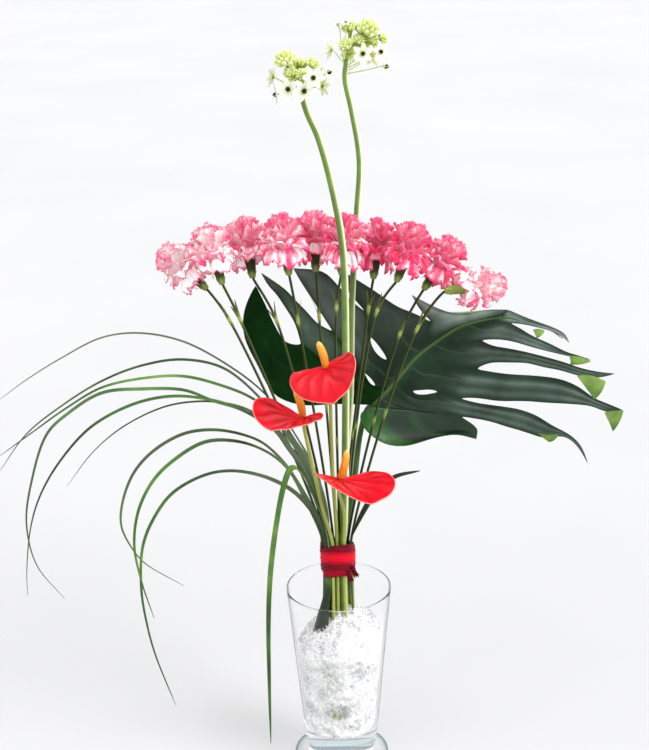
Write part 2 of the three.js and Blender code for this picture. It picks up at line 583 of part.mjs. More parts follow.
/** One blade: it rises through the tie, bends in its own upright plane and tapers out. */
function grassBlade(one, number) {
  const [x0, y0] = one.slot;
  const heavy = number === GRASS.length - 1;
  const splay = heavy ? 1.55 : 1.2;
  const low = V(x0 * splay, y0 * splay, heavy ? 172 : 150 + 3 * number);
  const tie = V(x0, y0, TIE_Z[0] - 2);
  const over = V(x0, y0, TIE_Z[1] + 2);
  const arc = one.path.map(([x, z]) => V(x, y0 + one.slope * (x - x0), z));
  const path = [low, tie, ...course([over, ...arc], 1)];
  const away = V(one.slope, -1, 0).normalize();
  const round = V(-y0, x0, 0).normalize();
  if (round.dot(away) < 0) round.negate();
  const across = tangents(path).map((along, i) => {
    const level = round.clone().lerp(away, smooth(1, 5, i)).normalize();
    const flat = level.addScaledVector(along, -level.dot(along)).normalize();
    return flat.applyAxisAngle(along, -rad(heavy ? 20 : TWIST) * smooth(4, 9, i));
  });
  const last = path.length - 1;
  const widths = path.map((_, i) => {
    if (i === 0) return heavy ? 8 : 3.2;
    if (i < 4) return 3.2;
    const t = (i - 3) / (last - 3);
    return i === last ? 0.8 : mix(3.4, one.wide, Math.min(1, t * 5)) * Math.sqrt(1 - t * t);
  });
  const thick = path.map((_, i) => (i < 3 ? 0.9 : mix(0.9, 0.65, i / last)));
  const up = tie.clone().sub(low).normalize();
  const pit = [low.clone().addScaledVector(up, -0.6), tie];
  holes.push(strap(pit, [widths[0] + 2 * HOLE_GAP, widths[1] + 2 * HOLE_GAP],
    [thick[0] + 2 * HOLE_GAP, thick[1] + 2 * HOLE_GAP], [across[0], across[1]]));
  return strap(path, widths, thick, across);
}

GRASS.forEach((one, k) => {
  const tag = String(k + 1).padStart(2, '0');
  place(`grass_blade_${tag}`, grassBlade(one, k), '#4f7a3a', 0.5);
});

// ---------------------------------------------------------------- gel

/** Crushed clear gel heaped round the stems, with a plain hole for each of them. */
function gelFilling() {
  const draw = random(4242);
  const sides = VASE_SIDES / 2;
  const slope = (RIM[0] - BOWL_LOW[0]) / (RIM[1] - FLOOR_Z - 6);
  const inside = (z) => BOWL_LOW[0] - WALL + slope * (z - FLOOR_Z - 3) - 0.5;
  const rough = () => GEL_ROUGH * (draw() - 0.5);
  const levels = [[BOWL_LOW[0] - WALL - 3.6, FLOOR_Z + GAP, 0], [inside(FLOOR_Z + 4), FLOOR_Z + 4, 0],
    [inside(GEL_WALL_Z), GEL_WALL_Z, 0], [48, mix(GEL_WALL_Z, GEL_TOP_Z, 0.45), 1],
    [33, mix(GEL_WALL_Z, GEL_TOP_Z, 0.85), 1], [9, GEL_TOP_Z, 0]];
  const rings = levels.map(([r, z, jag]) => ring(V(0, 0, z), UP, (i) => r + jag * ((i * 7) % 3 - 1),
    sides, () => jag * rough()));
  return shapeOf(holes.map(solid).reduce((body, hole) => body.subtract(hole), solid(loft(rings))));
}
place('gel_filling', gelFilling(), '#eef2f4', 0.2, { transparent: true, opacity: 0.5 });

export default arrangement;
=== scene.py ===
"""Ikebana arrangement in a footed glass vase: finished surfaces, camera, light and ground.

Shapes are worked out in millimetres as whole numpy arrays and become meshes in metres. Each kind
of plant, the vase, its gel and the ribbon is a class that builds its meshes and gives them their
finishes. +Z is up, +X is right and the front looks toward -Y.
"""

import logging
import math
from collections.abc import Sequence
from dataclasses import dataclass, field
from enum import Enum

import bpy
import numpy as np
from mathutils import Matrix

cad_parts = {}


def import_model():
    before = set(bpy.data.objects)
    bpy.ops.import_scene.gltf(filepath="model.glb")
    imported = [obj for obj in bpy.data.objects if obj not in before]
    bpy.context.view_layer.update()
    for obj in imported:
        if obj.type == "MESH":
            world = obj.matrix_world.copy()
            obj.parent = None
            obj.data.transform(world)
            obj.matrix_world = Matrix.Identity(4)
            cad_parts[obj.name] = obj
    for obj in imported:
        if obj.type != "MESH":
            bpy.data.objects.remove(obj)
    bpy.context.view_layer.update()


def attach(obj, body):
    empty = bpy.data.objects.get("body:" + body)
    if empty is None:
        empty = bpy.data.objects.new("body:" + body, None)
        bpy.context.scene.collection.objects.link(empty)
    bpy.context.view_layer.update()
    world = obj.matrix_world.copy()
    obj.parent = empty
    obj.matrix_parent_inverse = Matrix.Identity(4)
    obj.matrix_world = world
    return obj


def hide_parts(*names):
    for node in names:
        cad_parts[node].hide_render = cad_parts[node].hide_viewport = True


log = logging.getLogger("ikebana")

Array = np.ndarray
Socket = bpy.types.NodeSocket
Value = float | Socket
Spot = tuple[float, float]
Place = tuple[float, float, float]
MM = 0.001
UP = np.array([0.0, 0.0, 1.0])
TURN = 2 * math.pi
GOLDEN_TURN = 2.39996                   # step of a spiral that packs buds evenly
STEPS_PER_POINT = 24                    # fine steps of a curve for each point it passes

# ---- sizes shared with the solids

GAP = 0.35                              # air between neighbouring pieces
RIM_R, RIM_Z = 70.0, 265.0              # outer edge of the vase's rim
BOWL_LOW_R, BOWL_LOW_Z = 50.0, 40.0     # outer edge of the bowl where its straight wall starts
WALL = 3.0                              # thickness of the bowl's wall
FLOOR_Z = 54.0                          # inner floor of the bowl
TIE_Z = (279.0, 332.0)                  # lower and upper edge of the tie
TIE_IN = 21.5                           # inner radius of the tie
TIE_MARGIN = 2.0                        # how far a stem runs straight past the tie
STEM_SPLAY = 1.3                        # how much the stems open out below the tie


# ---- curves and grids

class Draw:
    """Repeatable random numbers between 0 and 1, one at a time."""

    FACTOR, PRIME = 16807, 2147483647

    def __init__(self, seed: int) -> None:
        """Args: seed: start of the row of numbers."""
        self.state = seed

    def __call__(self) -> float:
        """Returns: the next number."""
        self.state = self.state * self.FACTOR % self.PRIME
        return self.state / self.PRIME


def mix(a: float | Array, b: float | Array, t: float | Array) -> float | Array:
    """Returns: the value that lies the share t of the way from a to b."""
    return a + (b - a) * t


def smooth(low: float, high: float, x: Array) -> Array:
    """Returns: 0 under low, 1 over high and an even S-shaped rise between."""
    t = np.clip((x - low) / (high - low), 0, 1)
    return t * t * (3 - 2 * t)


def bell(x: Array, middle: float, wide: float) -> Array:
    """Returns: a bell curve: 1 at the middle, falling by e where x is wide away."""
    return np.exp(-((x - middle) / wide) ** 2)


def unit(v: Array) -> Array:
    """Returns: the vectors along the last axis, each cut to length one."""
    return v / np.maximum(np.linalg.norm(v, axis=-1, keepdims=True), 1e-9)


def around(count: int) -> Array:
    """Returns: angles evenly round a circle."""
    return TURN * np.arange(count) / count


def level_pair(axis: Array) -> tuple[Array, Array]:
    """Returns: two directions square to an axis, the first as near to +X as it can be."""
    u = unit(np.array([1.0, 0, 0]) - axis[0] * axis)
    return u, np.cross(axis, u)


def crossed_pair(axis: Array, helper: Sequence[float]) -> tuple[Array, Array]:
    """Returns: two directions square to an axis, the first square to the helper too."""
    u = unit(np.cross(axis, np.array(helper)))
    return u, np.cross(axis, u)


def spokes(angle: Array, u: Array, w: Array) -> Array:
    """Returns: directions round an axis: the angle's cosine along u and its sine along w."""
    return np.cos(angle)[..., None] * u + np.sin(angle)[..., None] * w


def upright(r: Array, angle: Array, z: Array) -> Array:
    """Returns: points at a radius, angle and height round the arrangement's middle."""
    return np.stack([r * np.cos(angle), r * np.sin(angle), z], -1)


def curve_through(points: Sequence, count: int) -> Array:
    """Smooth curve through points, by the centripetal Catmull-Rom formula.

    Each knot lies the square root of the chord after the last one, and each span blends the
    four points round it. The samples are then spread evenly over the length.

    Args:
        points: at least two points, of two or three numbers each.
        count: samples wanted.

    Returns:
        Array of count points.
    """
    p = np.asarray(points, float)
    p = np.vstack([2 * p[0] - p[1], p, 2 * p[-1] - p[-2]])
    knots = np.r_[0, np.cumsum(np.sqrt(np.linalg.norm(np.diff(p, axis=0), axis=1)))]
    t = np.linspace(knots[1], knots[-2], STEPS_PER_POINT * len(p))
    k = np.clip(np.searchsorted(knots, t, "right") - 1, 1, len(p) - 3)
    t0, t1, t2, t3 = (knots[k + i][:, None] for i in (-1, 0, 1, 2))
    p0, p1, p2, p3 = (p[k + i] for i in (-1, 0, 1, 2))
    t = t[:, None]
    a1 = ((t1 - t) * p0 + (t - t0) * p1) / (t1 - t0)
    a2 = ((t2 - t) * p1 + (t - t1) * p2) / (t2 - t1)
    a3 = ((t3 - t) * p2 + (t - t2) * p3) / (t3 - t2)
    b1 = ((t2 - t) * a1 + (t - t0) * a2) / (t2 - t0)
    b2 = ((t3 - t) * a2 + (t - t1) * a3) / (t3 - t1)
    fine = ((t2 - t) * b1 + (t - t1) * b2) / (t2 - t1)
    return spread(fine, count)


def spread(line: Array, count: int) -> Array:
    """Returns: count points spread evenly over the length of a polyline."""
    length = np.r_[0, np.cumsum(np.linalg.norm(np.diff(line, axis=0), axis=1))]
    wanted = np.linspace(0, length[-1], count)
    return np.stack([np.interp(wanted, length, line[:, i]) for i in range(line.shape[1])], 1)


def frames(path: Array, across: Sequence[float] = (0.0, 1.0, 0.0)) -> tuple[Array, Array]:
    """Returns: two directions square to a path at each point, the first as near across it as can be."""
    along = unit(np.gradient(path, axis=0))
    u = unit(across - (along @ across)[:, None] * along)
    return u, np.cross(along, u)


def tube(path: Array, radii: Array, sides: int) -> Array:
    """Rings round a path: centre plus radius times (cosine of one side, sine of the other).

    Args:
        path: centre line.
        radii: one radius for each point, or one for each point and side.
        sides: points in a ring.

    Returns:
        Grid of points, path by sides.
    """
    u, w = frames(path)
    radii = radii[:, None] if radii.ndim == 1 else radii
    return path[:, None] + radii[..., None] * spokes(around(sides)[None], u[:, None], w[:, None])


def rings(centre: Array, axis: Array, profile: Array, sides: int) -> Array:
    """Rings of a turned profile of [radius, height] round an axis, as a grid of points."""
    path = centre + profile[:, 1:] * axis
    spoke = spokes(around(sides), *level_pair(axis))
    return path[:, None] + profile[:, 0][:, None, None] * spoke[None]


@dataclass
class Skin:
    """A surface of points, faces and values: faces hold corner numbers, corner UV and finish."""

    points: Array = field(default_factory=lambda: np.zeros((0, 3)))
    faces: list[tuple[Array, Array, int]] = field(default_factory=list)
    values: dict[str, Array] = field(default_factory=dict)

    def __add__(self, other: "Skin") -> "Skin":
        """Returns: both surfaces as one; a value that one of them lacks is 0 there."""
        shift = len(self.points)
        names = sorted({*self.values, *other.values})
        blank = [np.zeros(len(s.points)) for s in (self, other)]
        return Skin(
            np.vstack([self.points, other.points]),
            self.faces + [(f + shift, uv, m) for f, uv, m in other.faces],
            {n: np.r_[self.values.get(n, blank[0]), other.values.get(n, blank[1])]
             for n in names},
        )

    def welded(self, nearness: float) -> "Skin":
        """Makes points that lie close together one, and four-sided faces that lose one three-sided.

        Args:
            nearness: step of the grid that points are rounded to.

        Returns:
            The surface.
        """
        keys = np.round(self.points / nearness).astype(np.int64)
        _, first, back = np.unique(keys, axis=0, return_index=True, return_inverse=True)
        back = back.ravel()
        faces = []
        for face, uv, finish in self.faces:
            face = back[face]
            same = face == np.roll(face, -1, 1)
            whole, cut = same.sum(1) == 0, (same.sum(1) == 1) & (face.shape[1] == 4)
            faces.append((face[whole], uv[whole], finish))
            if cut.any():
                keep = ~same[cut]
                faces.append((face[cut][keep].reshape(-1, 3), uv[cut][keep].reshape(-1, 3, 2), finish))
        return Skin(self.points[first], faces, {n: v[first] for n, v in self.values.items()})


def grid_skin(grid: Array, wrap: bool = False, caps: tuple[bool, bool] = (False, False),
              finish: int = 0, **values: Array | float) -> Skin:
    """Surface over one grid of points, or over many alike; its UV are columns and rows, 0 to 1.

    Args:
        grid: points as (..., rows, columns, 3); faces look along columns times rows.
        wrap: the last column meets the first.
        caps: close the first and the last row with a fan.
        finish: number of the material.
        values: named numbers for each point or each grid.

    Returns:
        The surface.
    """
    rows, columns = grid.shape[-3:-1]
    grid = grid.reshape(-1, rows, columns, 3)
    many = len(grid)
    index = np.arange(many * rows * columns).reshape(many, rows, columns)
    if wrap:
        index = np.concatenate([index, index[:, :, :1]], 2)
    wide = index.shape[2]
    uv = np.stack(np.meshgrid(np.linspace(0, 1, wide), np.linspace(0, 1, rows)), -1)
    uv = np.broadcast_to(uv, (many, rows, wide, 2))

    def corners(a: Array) -> Array:
        """Returns: the four corner entries of each face of a grid."""
        four = [a[:, :-1, :-1], a[:, :-1, 1:], a[:, 1:, 1:], a[:, 1:, :-1]]
        return np.stack(four, 3).reshape(-1, 4, *a.shape[3:])

    points = grid.reshape(-1, 3)
    numbers = {n: np.repeat(np.ravel(v).astype(float), len(points) // np.size(v))
               for n, v in values.items()}
    faces = [(corners(index), corners(uv), finish)]
    for end, row in ((0, 0), (1, rows - 1)):
        if not caps[end]:
            continue
        hub = len(points) + np.arange(many)
        points = np.vstack([points, grid[:, row].mean(1)])
        numbers = {n: np.r_[v, v[index[:, row, 0]]] for n, v in numbers.items()}
        a, b = index[:, row, :-1], index[:, row, 1:]
        ring = (b, a) if end == 0 else (a, b)
        fan = np.stack([*ring, np.broadcast_to(hub[:, None], a.shape)], -1).reshape(-1, 3)
        spot = np.broadcast_to(uv[:, row, :1], (many, wide - 1, 2))
        faces.append((fan, np.repeat(spot.reshape(-1, 1, 2), 3, 1), finish))
    return Skin(points, faces, numbers)


def closed_skin(grid: Array, **values: Array | float) -> Skin:
    """Returns: surface of a grid whose columns run round, with a fan over either end."""
    return grid_skin(grid, wrap=True, caps=(True, True), **values)


def rod_skin(line: Array, radii: Array | float, sides: int, **values: Array | float) -> Skin:
    """Returns: closed surface of a tube of one or many radii along a line."""
    return closed_skin(tube(line, radii + np.zeros(len(line)), sides), **values)


# ---- shader nodes

def srgb(code: str) -> tuple[float, float, float, float]:
    """Returns: a colour written as six hex digits, in linear light, opaque."""
    parts = [int(code[i:i + 2], 16) / 255 for i in (0, 2, 4)]
    return (*[c / 12.92 if c <= 0.04045 else ((c + 0.055) / 1.055) ** 2.4 for c in parts], 1.0)


COLOUR_MIX_INPUTS = (0, 6, 7)           # a Mix node's share and its two colours
COLOUR_MIX_OUTPUT = 2


class Graph:
    """Lays nodes in one shader tree and links them as it goes."""

    def __init__(self, tree: bpy.types.NodeTree) -> None:
        """Args: tree: the tree to fill."""
        self.tree = tree

    def node(self, kind: str, inputs: dict | None = None, **settings: object) -> bpy.types.Node:
        """Adds a node.

        Args:
            kind: its type, without the leading ShaderNode.
            inputs: socket to value or to the output that feeds it.
            settings: the node's own settings.

        Returns:
            The node.
        """
        made = self.tree.nodes.new("ShaderNode" + kind)
        for key, value in settings.items():
            setattr(made, key, value)
        self.feed(made, inputs or {})
        return made

    def feed(self, made: bpy.types.Node, inputs: dict) -> None:
        """Sets a node's inputs.

        Args:
            made: the node.
            inputs: socket to value or to the output that feeds it.
        """
        for key, value in inputs.items():
            if isinstance(value, Socket):
                self.tree.links.new(value, made.inputs[key])
            else:
                made.inputs[key].default_value = value

    def sum(self, operation: str, *terms: Value) -> Socket:
        """Returns: the result of one Math operation on values or outputs."""
        return self.node("Math", dict(enumerate(terms)), operation=operation).outputs[0]

    def times(self, first: Value, second: Value) -> Socket:
        """Returns: the product of two values or outputs."""
        return self.sum("MULTIPLY", first, second)

    def blend(self, share: Value, first: Value | Sequence, second: Value | Sequence) -> Socket:
        """Returns: the colour that lies share of the way from first to second."""
        made = self.node("Mix", dict(zip(COLOUR_MIX_INPUTS, (share, first, second))),
                         data_type="RGBA")
        return made.outputs[COLOUR_MIX_OUTPUT]

    def ramp(self, value: Value, *stops: tuple[float, str]) -> Socket:
        """Returns: a colour read from stops of [place, hex colour]."""
        made = self.node("ValToRGB", {0: value})
        elements = made.color_ramp.elements
        while len(elements) < len(stops):
            elements.new(1.0)
        for element, (place, code) in zip(elements, stops):
            element.position = place
            element.color = srgb(code)
        return made.outputs[0]

    def remap(self, value: Value, low: Value, high: Value, to_low: Value = 0.0,
              to_high: Value = 1.0) -> Socket:
        """Returns: value carried from one range to another, kept inside it."""
        terms = (value, low, high, to_low, to_high)
        return self.node("MapRange", dict(enumerate(terms))).outputs[0]

    def uv(self) -> Socket:
        """Returns: the surface's own UV."""
        return self.node("UVMap", uv_map="UV").outputs[0]

    def lengthwise(self) -> Socket:
        """Returns: the surface's own V, from its root to its edge or tip."""
        return self.node("SeparateXYZ", {0: self.uv()}).outputs[1]

    def place(self) -> Socket:
        """Returns: the place in the object's own coordinates."""
        return self.node("TexCoord").outputs["Object"]

    def value(self, name: str) -> Socket:
        """Returns: a number stored at the mesh's points."""
        return self.node("Attribute", attribute_name=name).outputs["Fac"]

    def lets_light_by(self, body: Value, more: float) -> Socket:
        """Returns: an alpha that is body to the eye and less by more to shadow and bounced light."""
        path = self.node("LightPath").outputs
        light = self.sum("MAXIMUM", path["Is Shadow Ray"], path["Is Diffuse Ray"])
        return self.sum("MULTIPLY_ADD", light, -more, body)

    def group(self, tree: bpy.types.NodeTree, **inputs: Value) -> Socket:
        """Returns: what a shared effect, placed in this tree with its own inputs, puts out."""
        return self.node("Group", inputs, node_tree=tree).outputs[0]

    def bump(self, height: Value, strength: float, distance: float) -> Socket:
        """Returns: the normal bent by a height, distance in metres."""
        made = self.node("Bump", {"Height": height, "Strength": strength, "Distance": distance})
        return made.outputs[0]


def shared_group(name: str, result: str, **presets: float
                 ) -> tuple[Graph, bpy.types.NodeOutputs, Socket]:
    """Starts a node group with a Vector, numbers with presets, and one number put out.

    Args:
        name: its name.
        result: name of what it puts out.
        presets: name to preset of each number.

    Returns:
        A graph to fill it, what comes in, by name, and the socket that leads out.
    """
    tree = bpy.data.node_groups.new(name, "ShaderNodeTree")
    tree.interface.new_socket("Vector", in_out="INPUT", socket_type="NodeSocketVector")
    for label, preset in presets.items():
        socket = tree.interface.new_socket(label, in_out="INPUT", socket_type="NodeSocketFloat")
        socket.default_value = preset
    tree.interface.new_socket(result, in_out="OUTPUT", socket_type="NodeSocketFloat")
    enter = tree.nodes.new("NodeGroupInput").outputs
    return Graph(tree), enter, tree.nodes.new("NodeGroupOutput").inputs[result]


class Effects:
    """Node groups that several finishes share, each built once."""

    def __init__(self) -> None:
        """Builds the groups."""
        self.mottle = self._mottle()
        self.lines = self._lines()

    @staticmethod
    def _mottle() -> bpy.types.NodeTree:
        """Returns: soft patches, a noise over the place spread from Low to High."""
        g, enter, leave = shared_group("soft_patches", "Value", Scale=40, Low=0, High=1)
        noise = g.node("TexNoise", {"Vector": enter["Vector"], "Scale": enter["Scale"],
                                    "Detail": 3.0, "Roughness": 0.55})
        g.tree.links.new(g.remap(noise.outputs[0], 0.3, 0.7, enter["Low"], enter["High"]), leave)
        return g.tree

    @staticmethod
    def _lines() -> bpy.types.NodeTree:
        """Returns: fine lines along V, a noise drawn out lengthwise and sharpened."""
        g, enter, leave = shared_group("fine_lines", "Mask", Count=40, Length=2, Sharpness=0.5)
        size = g.node("CombineXYZ", {0: enter["Count"], 1: enter["Length"], 2: 1.0})
        drawn = g.node("VectorMath", {0: enter["Vector"], 1: size.outputs[0]},
                       operation="MULTIPLY")
        noise = g.node("TexNoise", {"Vector": drawn.outputs[0], "Scale": 1.0, "Detail": 2.0})
        half = g.times(enter["Sharpness"], 0.3)
        low = g.sum("SUBTRACT", 0.5, g.sum("SUBTRACT", 0.35, half))
        high = g.sum("ADD", 0.5, g.sum("SUBTRACT", 0.35, half))
        g.tree.links.new(g.remap(noise.outputs[0], low, high), leave)
        return g.tree

    def patches(self, g: Graph, scale: float, low: float = 0.0, high: float = 1.0) -> Socket:
        """Returns: soft patches over the place, placed in a graph, from low to high."""
        return g.group(self.mottle, Vector=g.place(), Scale=scale, Low=low, High=high)

    def streaks(self, g: Graph, count: float, length: float, sharpness: float) -> Socket:
        """Returns: fine lines along the surface's own V, placed in a graph."""
        return g.group(self.lines, Vector=g.uv(), Count=count, Length=length, Sharpness=sharpness)


@dataclass(frozen=True)
class Finish:
    """What one surface is finished with. Each kind below fills in its colour and relief."""

    name: str
    roughness: float = 0.5
    coat: float = 0.0
    coat_roughness: float = 0.1
    sheen: float = 0.0
    glow: float = 0.0
    glow_reach: float = 0.002
    glow_spread: Place = (1.0, 0.5, 0.4)
    shine: float = 0.22

    def paint(self, g: Graph, effects: Effects) -> dict:
        """Lays the finish's own nodes.

        Args:
            g: graph of its material.
            effects: the shared node groups.

        Returns:
            The shader's inputs by name.
        """
        raise NotImplementedError

    def material(self, effects: Effects) -> bpy.types.Material:
        """Builds the material once.

        Args:
            effects: the shared node groups.

        Returns:
            The material.
        """
        known = bpy.data.materials.get(self.name)
        if known:
            return known
        made = bpy.data.materials.new(self.name)
        made.use_nodes = True
        shader = made.node_tree.nodes["Principled BSDF"]
        constants = {"Roughness": self.roughness, "Coat Weight": self.coat,
                     "Coat Roughness": self.coat_roughness, "Sheen Weight": self.sheen,
                     "Specular IOR Level": self.shine, "Subsurface Weight": self.glow,
                     "Subsurface Scale": self.glow_reach, "Subsurface Radius": self.glow_spread}
        g = Graph(made.node_tree)
        g.feed(shader, constants)
        g.feed(shader, self.paint(g, effects))
        return made


class Studio(Enum):
    """Greys of the white studio: ground and its patches, sky behind and toward the viewer."""

    FLOOR = "bbbbbc"
    FLOOR_PATCH = "c0c0c1"
    SKY = "ffffff"
    ROOM = "d6d8dd"


# ---- meshes into the scene

class Workshop:
    """Turns skins into the arrangement's pieces."""

    def __init__(self) -> None:
        """Starts with the shared effects."""
        self.effects = Effects()

    def piece(self, name: str, skin: Skin, finishes: Sequence[Finish], nodes: Sequence[str],
              thick: float = 0.0, rounds: int = 0) -> bpy.types.Object:
        """Makes one piece that rides on the arrangement.

        Args:
            name: the piece's name.
            skin: its surface in millimetres.
            finishes: finish for each finish number; with a thickness, the underside takes the
                one after its face's own.
            nodes: solids that it stands for.
            thick: wall thickness given to an open surface, in millimetres.
            rounds: levels of smoothing.

        Returns:
            The object.
        """
        mesh = bpy.data.meshes.new(name)
        corners = [row for f, _, _ in skin.faces for row in f.tolist()]
        mesh.from_pydata((skin.points * MM).tolist(), [], corners)
        layer = mesh.uv_layers.new(name="UV")
        uv = np.concatenate([u.reshape(-1, 2) for _, u, _ in skin.faces])
        layer.data.foreach_set("uv", uv.astype(np.float32).ravel())
        marks = np.concatenate([np.full(len(f), m) for f, _, m in skin.faces])
        mesh.polygons.foreach_set("material_index", marks.astype(np.int32))
        mesh.polygons.foreach_set("use_smooth", np.ones(len(marks), bool))
        for label, numbers in skin.values.items():
            mesh.attributes.new(label, "FLOAT", "POINT").data.foreach_set(
                "value", numbers.astype(np.float32))
        for finish in finishes:
            mesh.materials.append(finish.material(self.effects))
        mesh.update()
        made = bpy.data.objects.new(name, mesh)
        bpy.context.scene.collection.objects.link(made)
        if thick:
            wall = made.modifiers.new("wall", "SOLIDIFY")
            wall.thickness = thick * MM
            wall.offset = 0.0
            wall.material_offset = 1 if len(finishes) > 1 else 0
        if rounds:
            even = made.modifiers.new("even", "SUBSURF")
            even.levels = rounds
            even.render_levels = rounds
        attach(made, "root")
        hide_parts(*nodes)
        log.info("%s: %d points, %d faces", name, len(skin.points), len(corners))
        return made


def stem_foot(slot: Sequence[float], cut_z: float) -> list[Array]:
    """Points of a stem under and through the tie.

    Args:
        slot: the stem's place in the tie.
        cut_z: height of its cut end.

    Returns:
        The cut end and the points just under and just over the tie.
    """
    x, y = slot
    return [np.array([x * STEM_SPLAY, y * STEM_SPLAY, cut_z]),
            np.array([x, y, TIE_Z[0] - TIE_MARGIN]), np.array([x, y, TIE_Z[1] + TIE_MARGIN])]


HIGHLIGHT_SIDE, HIGHLIGHT_WIDTH = 4.15, 0.46        # angle and breadth of a painted highlight streak down one side of a stem


def painted_highlight_streak(sides: int, share: float) -> Array:
    """Returns: a painted highlight, a pale streak down the right-front side of a tube, where the lamps
    would shine on it.
    """
    return share * bell(around(sides), HIGHLIGHT_SIDE, HIGHLIGHT_WIDTH)[None]


def stalk(points: Sequence, count: int) -> Array:
    """Stem line: straight through the tie, and a smooth curve above it."""
    straight = np.array(points[:3], float)
    low = spread(straight[:2], 8)[:-1]
    above = curve_through([*straight[1:], *points[3:]], count)
    return np.vstack([low, above])


# ---- vase and gel

@dataclass(frozen=True)
class Glass(Finish):
    """Clear glass, faintly blue in its thick parts."""

    name: str = "clear_glass"
    roughness: float = 0.02

    def paint(self, g: Graph, effects: Effects) -> dict:
        """Returns: clear, cool where it is thick and lighter where its wall is seen edge-on."""
        waves = effects.patches(g, 14.0)
        tint = g.blend(g.value("thick"), srgb("ffffff"), srgb("7b9198"))
        grazing = g.remap(g.node("LayerWeight").outputs["Facing"], 0.75, 1.0, 0.0, 0.6)
        thin = g.times(grazing, g.remap(g.value("thick"), 0.0, 0.1, 1.0, 0.0))
        return {"Base Color": tint, "Transmission Weight": 1.0, "IOR": 1.22,
                "Alpha": g.lets_light_by(g.sum("SUBTRACT", 1.0, thin), 1.0),
                "Normal": g.bump(waves, 0.15, 0.0004)}


@dataclass(frozen=True)
class Crystal(Finish):
    """Loose swollen water crystals: wet, clear and nearly white."""

    name: str = "loose_gel"
    roughness: float = 0.14

    def paint(self, g: Graph, effects: Effects) -> dict:
        """Returns: white with a few grey and violet crystals among it."""
        tint = g.ramp(g.value("tone"), (0.0, "d3d3d9"), (0.3, "ececef"), (1.0, "fdfdfd"))
        haze = effects.patches(g, 260.0, 0.05, 0.35)
        fine = effects.patches(g, 420.0)
        return {"Base Color": tint, "Roughness": haze, "Transmission Weight": 0.6,
                "IOR": 1.15, "Alpha": g.lets_light_by(1.0, 0.95),
                "Normal": g.bump(fine, 0.35, 0.0008)}


@dataclass(frozen=True)
class PackedGel(Finish):
    """Crushed gel pressed together: milky and lit through, with painted shade in grey and violet
    patches.
    """

    name: str = "packed_gel"
    roughness: float = 0.3
    glow: float = 0.7
    glow_reach: float = 0.01
    glow_spread: Place = (1.0, 1.0, 1.0)
    shine: float = 0.3

    def paint(self, g: Graph, effects: Effects) -> dict:
        """Returns: white to pale grey-violet in soft noise patches that are painted shade, with clearer
        spots, and a fine grain.
        """
        patch = effects.patches(g, 48.0)
        grain = effects.patches(g, 330.0)
        shade = g.sum("MULTIPLY_ADD", grain, 0.4, g.times(patch, 0.6))
        # painted shade: the grey-violet stops stand in for shade within the gel
        tint = g.ramp(shade, (0.1, "a3a1aa"), (0.35, "cfcfd1"), (0.6, "ebebe9"), (1.0, "fbfbf8"))
        clear = g.remap(g.sum("MULTIPLY_ADD", patch, 0.3, g.value("clear")), 0.2, 1.2,
                        0.94, 0.15)
        return {"Base Color": tint, "Alpha": g.lets_light_by(clear, 0.6),
                "Normal": g.bump(grain, 0.6, 0.0012)}


@dataclass(frozen=True)
class GlassVase:
    """Footed bowl turned from one profile; the gel stands in it."""

    sides: int = 128
    wall_rows: int = 24
    lip: float = 0.85
    # the foot from the middle of its underside, over its edge and up to the bowl
    foot: tuple[Spot, ...] = ((0.6, 0), (40, 0), (60, 0), (63, 0.3), (64.6, 1.3), (65, 3),
                              (65, 5.4), (64.5, 7.1), (63, 8.2), (60, 8.6), (53, 9.0), (48.6, 9.6),
                              (46.8, 11), (46, 13.4), (46.2, 17), (47.0, 24), (48.6, 33))
    foot_top: float = 9.0
    tinted_foot: Spot = (57.5, 64.5)
    tinted_lip: Spot = (-3.5, -2.0)
    lip_tint: float = 0.12

    def profile(self) -> Array:
        """Returns: [radius, height] up the outside and down the inside, corners rounded."""
        rise = np.linspace(0, 1, self.wall_rows)
        wall_out = np.stack([mix(BOWL_LOW_R, RIM_R - 0.1, rise), mix(BOWL_LOW_Z, RIM_Z - 3, rise)], 1)
        a = np.linspace(0, np.pi, 9)
        rim = np.stack([RIM_R - self.lip - 0.1 + self.lip * np.cos(a),
                        RIM_Z - self.lip + self.lip * np.sin(a)], 1)
        low_in = BOWL_LOW_R - WALL
        wall_in = np.stack([mix(RIM_R - 2 * self.lip - 0.3, low_in + 0.2, rise),
                            mix(RIM_Z - 4, FLOOR_Z + 7, rise)], 1)
        floor = np.array([[low_in - 0.5, FLOOR_Z + 3], [low_in - 2, FLOOR_Z + 1],
                          [low_in - 6, FLOOR_Z], [low_in - 20, FLOOR_Z], [0.6, FLOOR_Z]])
        return np.vstack([self.foot, wall_out, rim, wall_in, floor])

    def build(self, shop: Workshop) -> None:
        """Args: shop: makes the piece."""
        profile = self.profile()
        radius, height = profile.T
        foot = smooth(*self.tinted_foot, radius) * (height < self.foot_top)
        low, high = self.tinted_lip
        lip = self.lip_tint * smooth(RIM_Z + low, RIM_Z + high, height)
        skin = closed_skin(rings(np.zeros(3), UP, profile, self.sides),
                           thick=np.repeat(foot + lip, self.sides))
        shop.piece("glass_vase", skin, [Glass()], ["vase"])


